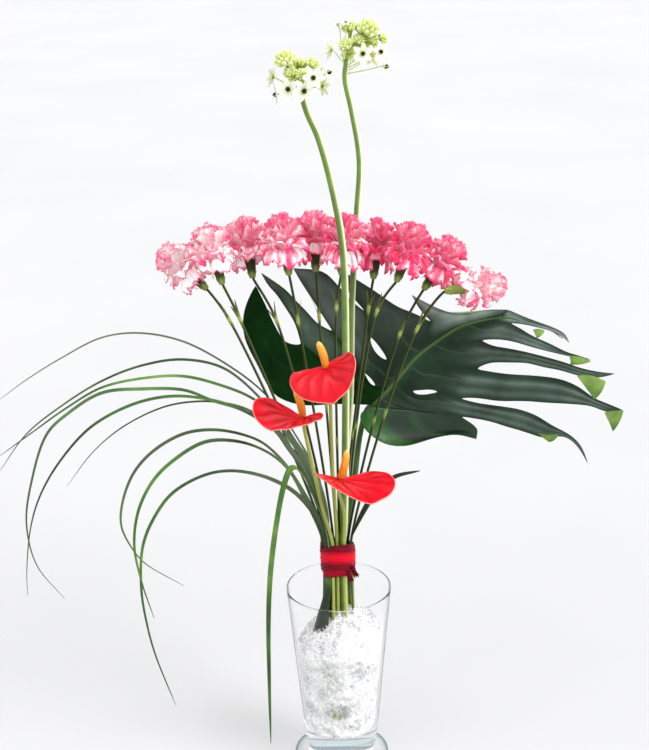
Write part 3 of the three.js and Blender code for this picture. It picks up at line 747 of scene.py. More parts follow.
@dataclass(frozen=True)
class GelFilling:
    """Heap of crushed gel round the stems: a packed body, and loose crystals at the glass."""

    at_wall: int = 1500
    on_top: int = 900
    wall_z: float = 166.0
    top_z: float = 238.0
    heap_r: float = 62.0
    loose_r: float = 56.0
    tilt: float = 0.2
    sides: int = 200
    floor_rows: int = 8
    wall_rows: int = 72
    heap_rows: int = 34
    window_z: float = 94.0              # clear spot at the front, where the cut stems show
    window_high: float = 13.0
    window_turn: float = 0.34
    kept_free: Place = (-5.0, 15.0, 11.0)   # middle and reach in x and z that has no crystals
    moved_up: float = 30.0
    spot: tuple = (-14.0, 17.0, 152.0, 24.0)    # second one: middle and reach in x, then in z
    seed: int = 6

    def heap(self, x: Array, y: Array) -> Array:
        """Returns: the heap's height at a place: a soft cone, a little higher to the right."""
        share = np.clip(1 - np.hypot(x, y) / self.heap_r, 0, 1)
        return mix(self.wall_z, self.top_z, share ** 0.5) + self.tilt * x

    def inside(self, z: Array) -> Array:
        """Returns: inner radius of the bowl at a height."""
        run = (z - FLOOR_Z - 3) / (RIM_Z - FLOOR_Z - 6)
        return BOWL_LOW_R - WALL + (RIM_R - BOWL_LOW_R) * run

    @staticmethod
    def lumps(points: Array, size: float, rng: np.random.Generator) -> Array:
        """Returns: uneven heights, the mean of waves that run in many directions."""
        heading = unit(rng.normal(size=(24, 3))) * TURN / (size * rng.uniform(0.7, 1.6, (24, 1)))
        return np.sin(points @ heading.T + rng.uniform(0, TURN, 24)).sum(-1) / 3.5

    def packed(self, rng: np.random.Generator) -> Skin:
        """Body of the gel: out over the floor, up the wall and in over the heap, closed.

        At the wall the radius is the bowl's, less a gap and the lumps; on the heap the lumps
        raise and lower it. The gel is clearer in bell-shaped spots on the wall.

        Args:
            rng: random numbers.

        Returns:
            The surface.
        """
        a = around(self.sides)[None]
        rows = (self.floor_rows, self.wall_rows, self.heap_rows)
        floor_r = np.linspace(0.4, self.inside(FLOOR_Z + 4) - 2, rows[0])[:, None] + 0 * a
        floor_z = np.full_like(floor_r, FLOOR_Z + 0.8)
        edge = self.inside(self.wall_z)
        top_at_wall = self.heap(edge * np.cos(a), edge * np.sin(a))
        wall_z = mix(FLOOR_Z + 4, top_at_wall, np.linspace(0, 1, rows[1])[:, None])
        wall_r = self.inside(wall_z) - 1.0
        heap_r = (self.inside(top_at_wall) - 1.0) * np.linspace(0.97, 0.01, rows[2])[:, None]
        heap_z = self.heap(heap_r * np.cos(a), heap_r * np.sin(a))
        r, z = np.vstack([floor_r, wall_r, heap_r]), np.vstack([floor_z, wall_z, heap_z])
        place = upright(r, a, z)
        uneven = 0.9 * self.lumps(place, 11.0, rng) + 0.7 * self.lumps(place, 5.0, rng)
        at_wall = np.repeat([0.0, 1.0, 0.0], rows)[:, None]
        on_heap = np.r_[np.zeros(rows[0] + rows[1]), np.linspace(0, 1, rows[2]) ** 0.5][:, None]
        r = r - at_wall * np.maximum(0, 0.9 + uneven)
        z = z + on_heap * 1.5 * uneven
        from_front = (a + TURN / 4 + 0.1) % TURN
        from_front = from_front - TURN * (from_front > np.pi)
        clear = 1.1 * bell(z, self.window_z, self.window_high) * bell(from_front, 0, self.window_turn)
        x, wide, middle_z, high = self.spot
        off = ((r * np.cos(a) - x) / wide) ** 2 + ((z - middle_z) / high) ** 2
        clear = clear + 0.45 * np.exp(-off) * (a > np.pi)
        return closed_skin(upright(r, a, z), clear=clear * at_wall)

    def chunks(self, centres: Array, sizes: Array, rng: np.random.Generator) -> Skin:
        """Crystals: a six-sided double cone, its corners thrown about.

        Args:
            centres: their places.
            sizes: their radii.
            rng: random numbers.

        Returns:
            The surface.
        """
        many = len(centres)
        high, wide = np.array([[-0.55], [0.35]]), np.array([[0.85], [0.95]])
        ball = upright(wide, around(6) + high, np.broadcast_to(high, (2, 6)))
        shape = ball * rng.uniform(0.65, 1.25, (many, 2, 6, 1))
        turn, _ = np.linalg.qr(rng.normal(size=(many, 3, 3)))
        turn *= np.sign(np.linalg.det(turn))[:, None, None]
        shape = np.einsum("nij,nrcj->nrci", turn, shape)
        grid = centres[:, None, None] + sizes[:, None, None, None] * shape
        return closed_skin(grid, tone=rng.uniform(0, 1, many))

    def build(self, shop: Workshop) -> None:
        """Args: shop: makes the pieces."""
        rng = np.random.default_rng(self.seed)
        shop.piece("gel_body", self.packed(rng), [PackedGel()], ["gel_filling"])
        a = rng.uniform(0, TURN, self.at_wall)
        z = rng.uniform(FLOOR_Z + 5, self.wall_z, self.at_wall)
        size = rng.uniform(0.9, 2.6, self.at_wall)
        r = self.inside(z) - 0.5 - size * rng.uniform(1.0, 1.7, self.at_wall)
        wall = upright(r, a, z)
        x, half_wide, half_high = self.kept_free
        hides = (abs(wall[:, 0] - x) < half_wide) & (wall[:, 1] < 0)
        wall[hides & (abs(z - self.window_z) < half_high), 2] += self.moved_up
        b = rng.uniform(0, TURN, self.on_top)
        reach = self.loose_r * np.sqrt(rng.uniform(0, 1, self.on_top))
        x, y = reach * np.cos(b), reach * np.sin(b)
        top = np.stack([x, y, self.heap(x, y) + rng.uniform(-1.0, 2.2, self.on_top)], 1)
        top_size = rng.uniform(1.2, 3.4, self.on_top)
        loose = self.chunks(np.vstack([wall, top]), np.r_[size, top_size], rng)
        shop.piece("gel_crystals", loose, [Crystal()], ["gel_filling"])


# ---- ribbon

@dataclass(frozen=True)
class RibbonCloth(Finish):
    """Crinkled dark red ribbon with a fine cross weave."""

    name: str = "crinkled_ribbon"
    roughness: float = 0.5
    shine: float = 0.1

    def paint(self, g: Graph, effects: Effects) -> dict:
        """Returns: crimson by the tone, which is painted light and shade: bright bands round the middle
        and the lower turn, a little brighter on the tops of folds, with weave lines across it.
        """
        patch = effects.patches(g, 60.0, -0.08, 0.08)
        shade = g.sum("ADD", patch, g.value("tone"))
        body = g.ramp(shade, (0.0, "3d0312"), (0.3, "7d041b"), (0.6, "c60522"), (1.0, "ee0a28"))
        weave = effects.streaks(g, 700.0, 5.0, 0.6)
        body = g.blend(g.times(weave, 0.2), body, srgb("6e0719"))
        crease = effects.patches(g, 200.0)
        height = g.sum("MULTIPLY_ADD", weave, 0.3, crease)
        return {"Base Color": body, "Normal": g.bump(height, 0.35, 0.0006)}


@dataclass(frozen=True)
class RibbonTie:
    """Ribbon wound round the stems three times, and its two tails."""

    wide: float = 25.0
    turns: float = 3.0
    tail: float = 14.0
    slant: float = 8.0
    mean_out: float = 1.3               # how far the turns lie outside the tie's inner radius
    samples: tuple[int, int] = (420, 22)    # along the band and across it
    # tails: middle line, width, start of its wave
    tails: tuple = (
        (((17, -17.5, 303), (21, -19, 295), (24.5, -20.2, 288.5)), 7.5, 0.2),
        (((12, -21.6, 299), (14.5, -23, 291.5), (17.5, -24, 284.0)), 6.5, 1.1),
    )

    def band(self) -> Skin:
        """Lays the band as a rising screw line.

        A point sits at radius, angle and height; the radius swells in the middle of the band and
        drops under the next turn at its edges, and folds and creases are sums of sines.

        Returns:
            The surface.
        """
        along = np.linspace(0, 1, self.samples[0])[:, None]
        across = np.linspace(-0.5, 0.5, self.samples[1])[None]
        angle = TURN * (self.turns * along - 0.18)
        rise = TIE_Z[1] + 3 - TIE_Z[0] - self.wide
        fold = 0.9 * np.sin(5 * angle + 4 * across + 2 * np.sin(angle)) * (0.3 + abs(across))
        fold = fold + 0.35 * np.sin(13 * angle - 9 * across + np.sin(3 * angle))
        swell = 1.1 * np.cos(np.pi * across) + 0.3 * np.sin(3 * angle)
        tuck = 0.8 * smooth(0.15, 0.5, -across) * smooth(0.3, 0.4, along) - 0.5 * (1 - along)
        tuck = tuck + 1.2 * smooth(0.3, 0.5, across) * smooth(0.6, 0.7, along)
        pleat = 0.34 * np.sin(26 * across + 1.6 * np.sin(2 * angle) + 0.9 * np.sin(5 * angle))
        r = TIE_IN - 0.3 + swell - tuck + 0.5 * fold + pleat + 1.2 * along
        z = TIE_Z[0] + self.wide / 2 + rise * along + self.wide * across
        # painted light and shade: bright bands at heights 309 and 286, a little brighter on fold and
        # pleat crests, darker elsewhere
        tone = 0.1 + 0.75 * bell(z, 309, 8) + 0.28 * bell(z, 286, 6) + 0.05 * fold + 0.16 * pleat
        z = z + 0.8 * np.sin(2 * angle + 1) + self.slant * np.cos(angle)
        grid = np.stack([r * np.sin(angle), -r * np.cos(angle), z], -1)
        return grid_skin(grid[:, ::-1], tone=tone[:, ::-1])

    def frayed_tails(self) -> Skin:
        """Returns: the tails, strips along curves that wave more toward their toothed ends."""
        made = Skin()
        share = np.linspace(0, 1, 18)[:, None]
        side = np.linspace(-0.5, 0.5, 9)[None]
        for number, (path, wide, lean) in enumerate(self.tails):
            line = curve_through(path, 18)
            u, w = frames(line, (0.8, -0.3, 0.6))
            tooth = 2.2 * np.sin(31 * side + number) * smooth(0.8, 1, share)
            wave = 0.9 * np.sin(9 * side + 6 * share + lean) * share
            strip = line[:, None] + (wide * side * (0.75 + 0.35 * share))[..., None] * u[:, None]
            strip = strip + wave[..., None] * w[:, None]
            strip = strip + tooth[..., None] * unit(line[-1] - line[-2])
            made = made + grid_skin(strip, tone=0.15)
        return made

    def build(self, shop: Workshop) -> None:
        """Args: shop: makes the piece."""
        skin = self.band() + self.frayed_tails()
        made = shop.piece("wound_ribbon", skin, [RibbonCloth()], ["ribbon_tie"],
                          thick=0.3)


# ---- carnations

@dataclass(frozen=True)
class Stalk(Finish):
    """Green of a stalk: paler where its tone carries painted light, such as a painted highlight streak,
    and yellow where it swells.
    """

    name: str = "carnation_stalk"
    roughness: float = 0.3
    shine: float = 0.14
    dark: str = "060b05"
    body: str = "1a2a14"
    # pale colour: the joints' own yellow-green, and the colour of painted highlights and painted light
    pale: str = "a9b95c"

    def paint(self, g: Graph, effects: Effects) -> dict:
        """Returns: the two greens in long streaks and patches, and the pale one by the tone, which
        holds the joints' own yellow as well as painted highlight and painted light.
        """
        streak = effects.streaks(g, 14.0, 5.0, 0.2)
        patch = effects.patches(g, 55.0)
        share = g.sum("MULTIPLY_ADD", streak, 0.5, g.times(patch, 0.45))
        green = g.blend(share, srgb(self.dark), srgb(self.body))
        colour = g.blend(g.value("tone"), green, srgb(self.pale))
        return {"Base Color": colour, "Normal": g.bump(streak, 0.3, 0.0003)}


@dataclass(frozen=True)
class Petal(Finish):
    """Upper face of a petal: pink by its tone, with painted shade deeper toward the root and painted
    highlights on the tops of the ruffles, and a hot line along the edge.
    """

    name: str = "petal_face"
    roughness: float = 0.55
    sheen: float = 0.25
    glow: float = 0.15
    stops: tuple[tuple[float, str], ...] = ((0.0, "ffffff"), (0.28, "ffecec"), (0.48, "ffb4c4"),
                                            (0.68, "ff5585"), (1.0, "e40f4c"))
    line: str = "f0226a"
    line_share: float = 0.9

    def paint(self, g: Graph, effects: Effects) -> dict:
        """Returns: the ramp read by tone, place and fine veins, and the edge line."""
        v = g.lengthwise()
        vein = effects.streaks(g, 34.0, 2.2, 0.35)
        patch = effects.patches(g, 70.0, -0.16, 0.16)
        shade = g.sum("ADD", g.value("tone"), patch)
        shade = g.sum("MULTIPLY_ADD", g.sum("SUBTRACT", vein, 0.5), 0.12, shade)
        colour = g.ramp(shade, *self.stops)
        wave = g.sum("MULTIPLY_ADD", g.sum("SUBTRACT", vein, 0.5), 0.06, v)
        edge = g.remap(wave, 0.91, 0.975, 0.0, self.line_share)
        return {"Base Color": g.blend(edge, colour, srgb(self.line)),
                "Alpha": g.lets_light_by(1.0, 0.72),
                "Normal": g.bump(vein, 0.35, 0.0004)}


@dataclass(frozen=True)
class Carnation:
    """One carnation: slot in the tie, joint, foot of its cup, head, depth of pink and breadth."""

    slot: Spot
    joint: Place
    cup: Place
    head: Place
    pink: float
    breadth: float
    cup_light: float = 0.0

    def places(self) -> tuple[Array, Array, Array]:
        """Returns: the joint, the foot of the cup and the direction from there to the head."""
        base = np.array(self.cup, float)
        return np.array(self.joint, float), base, unit(np.array(self.head, float) - base)


@dataclass(frozen=True)
class CarnationGroup:
    """Ten carnations, each a stem with its cup, and a bloom."""

    flowers: tuple[Carnation, ...] = (
        Carnation((-18, 5), (-137, 87, 613), (-166, 98, 653), (-197, 107, 681), 0.26, 0.85),
        Carnation((-14, 0.8), (-121, 56, 624), (-142, 63, 670), (-154, 69, 712), 0.42, 0.92),
        Carnation((-10, 5), (-75, 86, 611), (-105, 102, 666), (-110, 114, 706), 0.6, 0.92),
        Carnation((-6, 0.8), (-46, 55, 621), (-56, 65, 680), (-63, 71, 726), 0.62, 0.95),
        Carnation((-2, 5), (-19, 88, 615), (-22, 104, 672), (-24, 117, 715), 0.7, 0.95),
        Carnation((2, 0.8), (4, 58, 637), (11, 65, 679), (16, 70, 723), 0.68, 0.95),
        Carnation((6, 5), (46, 90, 624), (53, 101, 662), (59, 112, 708), 0.8, 0.95),
        Carnation((10, 0.8), (56, 57, 631), (82, 63, 669), (99, 67, 714), 0.8, 0.93),
        Carnation((14, 5), (87, 81, 592), (119, 97, 647), (149, 110, 688), 0.7, 0.92),
        Carnation((18, 0.8), (108, 53, 608), (144, 60, 655), (189, 61, 660), 0.38, 0.84, 0.45),
    )
    seed: int = 50
    cut_z: Spot = (64, 92)
    stem_r: float = 2.2
    upper_r: float = 1.75
    calyx_h: float = 24.0
    cup_sides: int = 40
    # [half width, height] up the outside of the cup and down its inside
    cup: tuple[Spot, ...] = ((2.2, -1), (3.3, 0.5), (4.2, 2), (5.0, 5), (5.7, 10), (6.3, 16), (6.8, 21),
                  (7.0, 24), (6.3, 24), (5.5, 20), (4.6, 12), (3.8, 6))
    petal_rows: int = 11
    petal_columns: int = 31
    widest: float = 37.0
    highest: float = 82.0
    whorls: tuple = (
        # petals, root [r, h], edge [r, h], rise of the bow, half width, ruffle, tone
        (5, (4.6, 25), (29.0, 18), 12.5, 0.68, 4.2, -0.16),
        (6, (4.5, 26), (33.8, 36), 9.0, 0.66, 5.8, -0.02),
        (6, (4.0, 27), (32.5, 54), 6.5, 0.66, 6.2, 0.0),
        (6, (3.4, 28), (27.0, 65), 4.5, 0.70, 6.2, 0.04),
        (5, (2.8, 29), (19.0, 72), 3.0, 0.86, 5.6, 0.06),
        (5, (2.2, 30), (11.0, 76), 1.8, 0.95, 4.4, 0.06),
        (3, (1.2, 31), (4.8, 77.5), 0.9, 1.2, 2.8, 0.08),
    )

    def stem(self, flower: Carnation, number: int) -> Skin:
        """Stem, its swollen joint, paired leaves and the ridged cup with its teeth.

        Args:
            flower: its places and looks.
            number: its number from 0.

        Returns:
            The surface.
        """
        draw = Draw(901 + 37 * number)
        foot = stem_foot(flower.slot, mix(*self.cut_z, draw()))
        joint, base, axis = flower.places()
        line = stalk([*foot, joint, base, base + 3 * axis], 70)
        above = smooth(TIE_Z[0], TIE_Z[1] + 20, line[:, 2])
        near = bell(np.linalg.norm(line - joint, axis=1), 0, 5.5)
        low_joint = curve_through([*foot[1:], joint, base], 40)[18 + number % 5]
        second = bell(np.linalg.norm(line - low_joint, axis=1), 0, 4.5)
        radii = mix(self.stem_r, self.upper_r, above) + 0.95 * near + 0.5 * second
        # painted light: the stem turns paler below the tie, standing in for its lit look there
        painted_light_below_tie = 1 - smooth(TIE_Z[0] - 12, TIE_Z[0] + 8, line[:, 2])
        tone = 0.03 + 0.8 * np.maximum(near, 0.8 * second) + 0.5 * painted_light_below_tie
        # the streak is a painted highlight down the stem's right-front side
        tone = tone[:, None] + painted_highlight_streak(10, 0.22)
        return (rod_skin(line, radii, 10, tone=tone) + self.calyx(base, axis, flower.cup_light)
                + self.bracts(base, axis) + self.leaves(joint, line, draw))

    def calyx(self, base: Array, axis: Array, light: float) -> Skin:
        """The cup: a turned profile with ridges by a cosine and five teeth at its mouth.

        Args:
            base: its foot.
            axis: its direction.
            light: how much paler than usual it is.

        Returns:
            The surface.
        """
        profile = np.array(self.cup, float)
        heights = profile[:, 1]
        cup = rings(base, axis, profile, self.cup_sides)
        a = around(self.cup_sides)
        teeth = abs(((a / TURN * 5) % 1) - 0.5) * 2
        mouth = bell(heights, self.calyx_h, 1.5)
        bend = (5.2 * teeth - 2.6)[None] * mouth[:, None]
        ridge = 0.18 * np.cos(20 * a)[None] * (heights > 3)[:, None]
        out = unit(cup - (base + heights[:, None] * axis)[:, None])
        cup = cup + bend[..., None] * axis + ridge[..., None] * out
        tone = np.repeat(np.clip(0.6 - heights / 16, 0.06, 0.6), self.cup_sides) + light
        return closed_skin(cup, tone=tone)

    def bracts(self, base: Array, axis: Array) -> Skin:
        """Returns: four small scales that hug the foot of the cup."""
        centre = around(4)[:, None, None]
        v = np.linspace(0, 1, 6)[None, :, None]
        side = np.linspace(1, -1, 5)[None, None]
        angle = centre + 0.62 * side * (1 - v ** 2)
        r = 3.0 + 3.0 * v - 0.5 * side ** 2 + 0.5
        spoke = spokes(angle, *level_pair(axis))
        grid = base + r[..., None] * spoke + (-1.5 + 9.0 * v + 0 * angle)[..., None] * axis
        lower = grid - 0.5 * spoke
        return (grid_skin(grid[:, :, ::-1], tone=0.5)
                + grid_skin(lower, tone=0.5)).welded(0.01)

    def leaves(self, joint: Array, line: Array, draw: Draw) -> Skin:
        """Two narrow leaves that part from the stem at its joint, four points round a curve each.

        Args:
            joint: where they sit.
            line: the stem's line.
            draw: random numbers.

        Returns:
            The surface.
        """
        nearest = int(np.argmin(np.linalg.norm(line - joint, axis=1)))
        along = unit(line[nearest + 1] - line[nearest - 1])
        u, w = level_pair(along)
        turn = draw() * np.pi
        made = Skin()
        for half in (0.0, np.pi):
            out = math.cos(turn + half) * u + math.sin(turn + half) * w
            long = mix(20, 28, draw())
            points = [joint + along * (t * long - 1) + out * side
                      for t, side in ((0, 0.4), (0.5, 4.0), (1, 9.0))]
            mid = curve_through(points, 16)
            t = np.linspace(0, 1, 16)
            wide = np.cross(out, along)
            flat = 1.9 * np.sqrt(np.clip(1 - t ** 1.6, 0.01, 1))
            rim = [mid + flat[:, None] * wide, mid + 0.45 * out * (1 - t)[:, None],
                   mid - flat[:, None] * wide, mid - 0.5 * out * (1 - 0.6 * t)[:, None]]
            grid = np.stack(rim, 1)
            grid = grid if np.dot(np.cross(wide, out), along) > 0 else grid[:, ::-1]
            made = made + closed_skin(grid, tone=0.25)
        return made

    def bloom(self, flower: Carnation, number: int) -> Skin:
        """Petals of one bloom.

        A petal follows a bowed line from its root in the cup out to its edge, is fanned round
        the bloom's axis, and is ruffled by sines across it that grow to the edge; its last row
        is cut into teeth.

        Args:
            flower: its places and looks.
            number: its number from 0.

        Returns:
            The surface.
        """
        rng = np.random.default_rng(self.seed + number)
        _, base, axis = flower.places()
        pair = level_pair(axis)
        across = np.linspace(1, -1, self.petal_columns)[None, None]
        out = np.linspace(0, 1, self.petal_rows)[None, :, None] ** 0.8
        cut = 0.055 * (np.arange(self.petal_columns) % 2)[None, None] * (out > 0.99)
        made = Skin()
        for whorl, (many, root, edge, bow, fan, ruffle, deep) in enumerate(self.whorls):
            one = np.ones((many, 1, 1))
            turn = TURN * (np.arange(many)[:, None, None] + 0.5 * (whorl % 2)) / many
            turn = turn + rng.uniform(-0.12, 0.12, (many, 1, 1))
            reach = rng.uniform(0.86, 1.08, (many, 1, 1))
            droop = rng.uniform(-8.0, 6.5, (many, 1, 1)) * (1.0 if whorl < 4 else 0.6)
            r = mix(root[0], edge[0] * reach, out)
            h = mix(root[1], edge[1] + droop, out) + bow * np.sin(np.pi * out * one)
            shape = out ** 0.55 * (1 - 0.08 * abs(across) ** 3)
            angle = turn + fan * across * shape * 1.25
            round_edge = 1 - 0.16 * across ** 4 * out ** 3
            phase = rng.uniform(0, TURN, (4, many, 1, 1))
            grow = out ** 2.2
            wave = (0.75 * np.sin(5.5 * across + phase[0]) + 0.5 * np.sin(10 * across + phase[1])
                    + 0.22 * np.sin(19 * across + phase[2])) * ruffle * grow
            sway = 0.30 * ruffle * np.cos(8 * across + phase[3]) * grow
            flat_r, flat_h = edge[0] - root[0], edge[1] - root[1]
            size = math.hypot(flat_r, flat_h)
            along_r, along_h = flat_r / size, flat_h / size
            pull = sway - cut * size
            r = r * round_edge - wave * along_h + pull * along_r
            h = h * (1 - 0.03 * across ** 4 * out ** 3) + wave * along_r + pull * along_h
            r = np.clip(r * mix(1, flower.breadth, smooth(4, 16, r)), 0.3, self.widest)
            h = np.minimum(h, self.highest)
            grid = base + r[..., None] * spokes(angle, *pair) + h[..., None] * axis
            tone = flower.pink + deep - 0.06 + rng.uniform(-0.24, 0.2, (many, 1, 1))
            # painted shade: deeper pink toward the root where petals crowd; painted highlight: paler on
            # ruffle crests, deeper in the troughs
            tone = tone + 0.42 * (1 - out) - 0.34 * (wave / ruffle)
            made = made + grid_skin(grid, tone=np.clip(tone + 0 * across, 0, 1))
        return made

    def build(self, shop: Workshop) -> None:
        """Args: shop: makes the pieces."""
        under = Petal(name="petal_back", stops=((0.0, "fff2ef"), (0.3, "fdd6d8"), (0.6, "f99ab0"),
                                                (1.0, "e25a82")), line="e0306c")
        for k, flower in enumerate(self.flowers):
            tag = f"{k + 1:02d}"
            shop.piece(f"carnation_stalk_{tag}", self.stem(flower, k), [Stalk()],
                       [f"carnation_stem_{tag}"])
            shop.piece(f"carnation_petals_{tag}", self.bloom(flower, k), [Petal(), under],
                       [f"carnation_bloom_{tag}"], thick=0.35)


# ---- anthuriums

@dataclass(frozen=True)
class Lacquer(Finish):
    """Wet-looking red of a spathe with blistered fields between its veins."""

    name: str = "spathe_red"
    roughness: float = 0.38
    coat: float = 0.2
    coat_roughness: float = 0.16
    shine: float = 0.12

    def paint(self, g: Graph, effects: Effects) -> dict:
        """Returns: red, with painted highlights paler on the raised fields and painted shade darker
        along the vein grooves, and a thin pale rim.
        """
        vein = g.value("vein")
        v = g.lengthwise()
        patch = effects.patches(g, 45.0)
        red = g.blend(patch, srgb("bc0015"), srgb("da001d"))
        # painted highlight on the raised fields, then painted shade along the vein grooves
        red = g.blend(g.times(g.value("crest"), 0.26), red, srgb("ff5a62"))
        red = g.blend(g.times(vein, 0.34), red, srgb("9c0014"))
        rim = g.remap(v, 0.975, 0.995)
        red = g.blend(g.times(rim, 0.55), red, srgb("ffb3a2"))
        blister = effects.patches(g, 110.0)
        return {"Base Color": red, "Normal": g.bump(blister, 0.25, 0.0009)}


@dataclass(frozen=True)
class SpadixSkin(Finish):
    """Orange club covered in tiny florets."""

    name: str = "spadix_grain"
    roughness: float = 0.5

    def paint(self, g: Graph, effects: Effects) -> dict:
        """Returns: yellow-orange with a lighter tip and round grains."""
        v = g.lengthwise()
        cells = g.node("TexVoronoi", {"Vector": g.place(), "Scale": 620.0})
        body = g.ramp(v, (0.0, "dd7a18"), (0.35, "ea9126"), (0.75, "f6b040"), (1.0, "ffe08a"))
        body = g.blend(g.remap(cells.outputs[0], 0.2, 0.7, 0.0, 0.4), body, srgb("b8560f"))
        round_grain = g.sum("SUBTRACT", 1.0, cells.outputs[0])
        return {"Base Color": body, "Normal": g.bump(round_grain, 0.7, 0.0008)}


@dataclass(frozen=True)
class Anthurium:
    """One anthurium; pairs are for the right and the left half of its spathe."""

    slot: Spot              # the stem's place in the tie
    via: Place              # a point that it passes above the tie
    base: Place             # hub of the spathe
    tip: Place              # direction of its tip
    roll: float             # turn about that direction, in degrees
    lift: Spot              # rise of the sides
    back: Spot              # fall of the lobes
    span: Spot              # breadth of the halves
    spadix: Place           # upper end of the spadix
    size: float             # scale of the heart
    point: float            # length of its tip
    droop: float            # fall of its tip

    def axes(self) -> tuple[Array, Array, Array]:
        """Returns: directions of the tip, the side and the face of the spathe."""
        tip = unit(np.array(self.tip, float))
        level = unit(np.array([-tip[1], tip[0], 0]))
        a = math.radians(-self.roll)
        side = level * math.cos(a) + np.cross(tip, level) * math.sin(a)
        return tip, side, unit(np.cross(tip, side))


@dataclass(frozen=True)
class AnthuriumGroup:
    """Three anthuriums, each a stem, a heart-shaped spathe and a spadix."""

    flowers: tuple[Anthurium, ...] = (
        Anthurium(slot=(-1, -13), via=(-5, -24, 450), base=(-10, -55, 594),
                  tip=(0.076, -0.861, -0.198), roll=-15.5, lift=(6, 20.5), back=(-22, -7.7),
                  span=(1.126, 0.925), spadix=(-19, -46, 624), size=0.764, point=0.96,
                  droop=20.6),
        Anthurium(slot=(-7, -16.5), via=(-20, -33, 400), base=(-40, -58, 530),
                  tip=(-0.677, -0.893, 0.148), roll=-11.4, lift=(20.9, -0.5), back=(-6.9, 5.7),
                  span=(1.235, 0.7), spadix=(-49, -52, 566), size=0.794, point=0.924, droop=6.5),
        Anthurium(slot=(8, -16), via=(9, -32, 385), base=(4, -68, 450),
                  tip=(0.612, -0.995, 0.013), roll=12.8, lift=(11.9, 6.8), back=(-1.2, -10.2),
                  span=(0.902, 1.343), spadix=(13, -60, 486), size=0.852, point=1.05, droop=5.4),
    )
    # half the heart's outline as [degrees from the tip, reach]
    heart: tuple[Spot, ...] = ((0, 84), (9, 79), (30, 74), (53, 65), (78, 54), (103, 45), (127, 38),
                    (149, 27), (167, 12), (180, 7))
    hub: float = 2.2
    leaf: float = 0.9
    seat: float = 0.7
    half_columns: int = 91
    rows: int = 26
    cut_z: Spot = (68, 6)               # of the first stem, and the step to the next
    stem_r: float = 2.3
    # radius of a spadix at shares of its length
    club: tuple = ((0, 0.05, 0.12, 0.45, 0.8, 0.93, 1), (2.0, 3.6, 4.4, 4.9, 4.2, 3.0, 0.8))
    club_rows: int = 46
    club_sides: int = 28

    def spathe(self, flower: Anthurium) -> Skin:
        """Heart in polar rows: reach by angle, folded up at the lobes, drooping at the tip.

        Fields between the veins swell: the vein lines leave the hub and bend to the tip.

        Args:
            flower: its places and folds.

        Returns:
            The surface.
        """
        tip, side, normal = flower.axes()
        half = curve_through(self.heart, self.half_columns)
        order = np.linspace(0, 180, self.half_columns)
        reach_half = np.interp(order, half[:, 0], half[:, 1])
        angle = np.radians(np.r_[order, -order[-2:0:-1]])
        reach = np.r_[reach_half, reach_half[-2:0:-1]]
        reach = reach * (1 - (1 - flower.point) * bell(angle, 0, 0.45))
        share = np.linspace(0, 1, self.rows)[:, None] ** 0.9
        r = mix(self.hub, reach[None] * flower.size, share)
        left = (angle > 0).astype(int)
        span = np.array(flower.span)[left]
        s = r * np.cos(angle)
        t = r * np.sin(angle) * span
        lift = np.array(flower.lift)[left] * (t / 45) ** 2
        drop = np.where(s > 0, -flower.droop * (s / 84) ** 2,
                        np.array(flower.back)[left] * (s / 25) ** 2)
        course = abs(angle)[None] * (1 + 0.7 * share * np.exp(-abs(angle) / 1.2))
        course = course + 0.12 * np.sin(3.1 * angle + 4 * share) + 0.06 * np.sin(7 * share - 2 * angle)
        bulge = abs(np.sin(course * 6.6))
        # the vein value is painted shade in the grooves, and the crest value a painted highlight on the
        # tops of the swollen fields
        vein = 1 - smooth(0.0, 0.8, bulge)
        crest = smooth(0.6, 1.0, bulge) * smooth(0.1, 0.4, share) * (1 - smooth(0.75, 1, share))
        crest = crest * (0.55 + 0.45 * np.sin(2.3 * angle + 5 * share))
        swell = 1.9 * (bulge ** 0.8) * np.sin(np.pi * np.clip(share, 0, 1)) ** 0.6
        rim = 0.35 * np.sin(11 * angle)[None] * smooth(0.75, 1, share)
        up = lift + drop + swell - 0.35 + rim
        base = np.array(flower.base, float)
        grid = base + s[..., None] * tip + t[..., None] * side + up[..., None] * normal
        return grid_skin(grid, wrap=True, caps=(True, False), crest=crest,
                         vein=vein * smooth(0.05, 0.3, share))

    def spadix(self, start: Array, normal: Array, top: Array) -> Skin:
        """A slightly bent club; its radius ripples round and along it by cosines.

        Args:
            start: its foot.
            normal: direction it starts in.
            top: its upper end.

        Returns:
            The surface.
        """
        low = start + 2.2 * normal
        middle = (low + top) / 2 + np.array([1.5, -2, 0])
        line = curve_through([start, low, middle, top, top + np.array([-0.5, 0.5, 1.6])],
                             self.club_rows)
        radii = np.interp(np.linspace(0, 1, self.club_rows), *self.club)
        bumps = 0.22 * np.cos(14 * around(self.club_sides)[None]
                              + np.pi * np.arange(self.club_rows)[:, None])
        return closed_skin(tube(line, radii[:, None] + bumps, self.club_sides))

    def build(self, shop: Workshop) -> None:
        """Args: shop: makes the pieces."""
        green = Stalk("anthurium_stalk", 0.35, dark="5d6b26", body="8c9a3c", pale="c4c768")
        for k, flower in enumerate(self.flowers):
            normal = flower.axes()[2]
            base = np.array(flower.base, float)
            off = normal * (self.leaf / 2 + self.seat)
            shop.piece(f"spathe_{k + 1}", self.spathe(flower), [Lacquer()],
                       [f"anthurium_spathe_{k + 1}"], thick=self.leaf)
            club = self.spadix(base + off, normal, np.array(flower.spadix, float))
            shop.piece(f"spadix_{k + 1}", club, [SpadixSkin()], [f"anthurium_spadix_{k + 1}"])
            foot = stem_foot(flower.slot, self.cut_z[0] + self.cut_z[1] * k)
            line = stalk([*foot, flower.via, base - 10 * normal, base - off], 60)
            shop.piece(f"anthurium_stalk_{k + 1}", rod_skin(line, self.stem_r, 12, tone=0.35),
                       [green], [f"anthurium_stem_{k + 1}"])


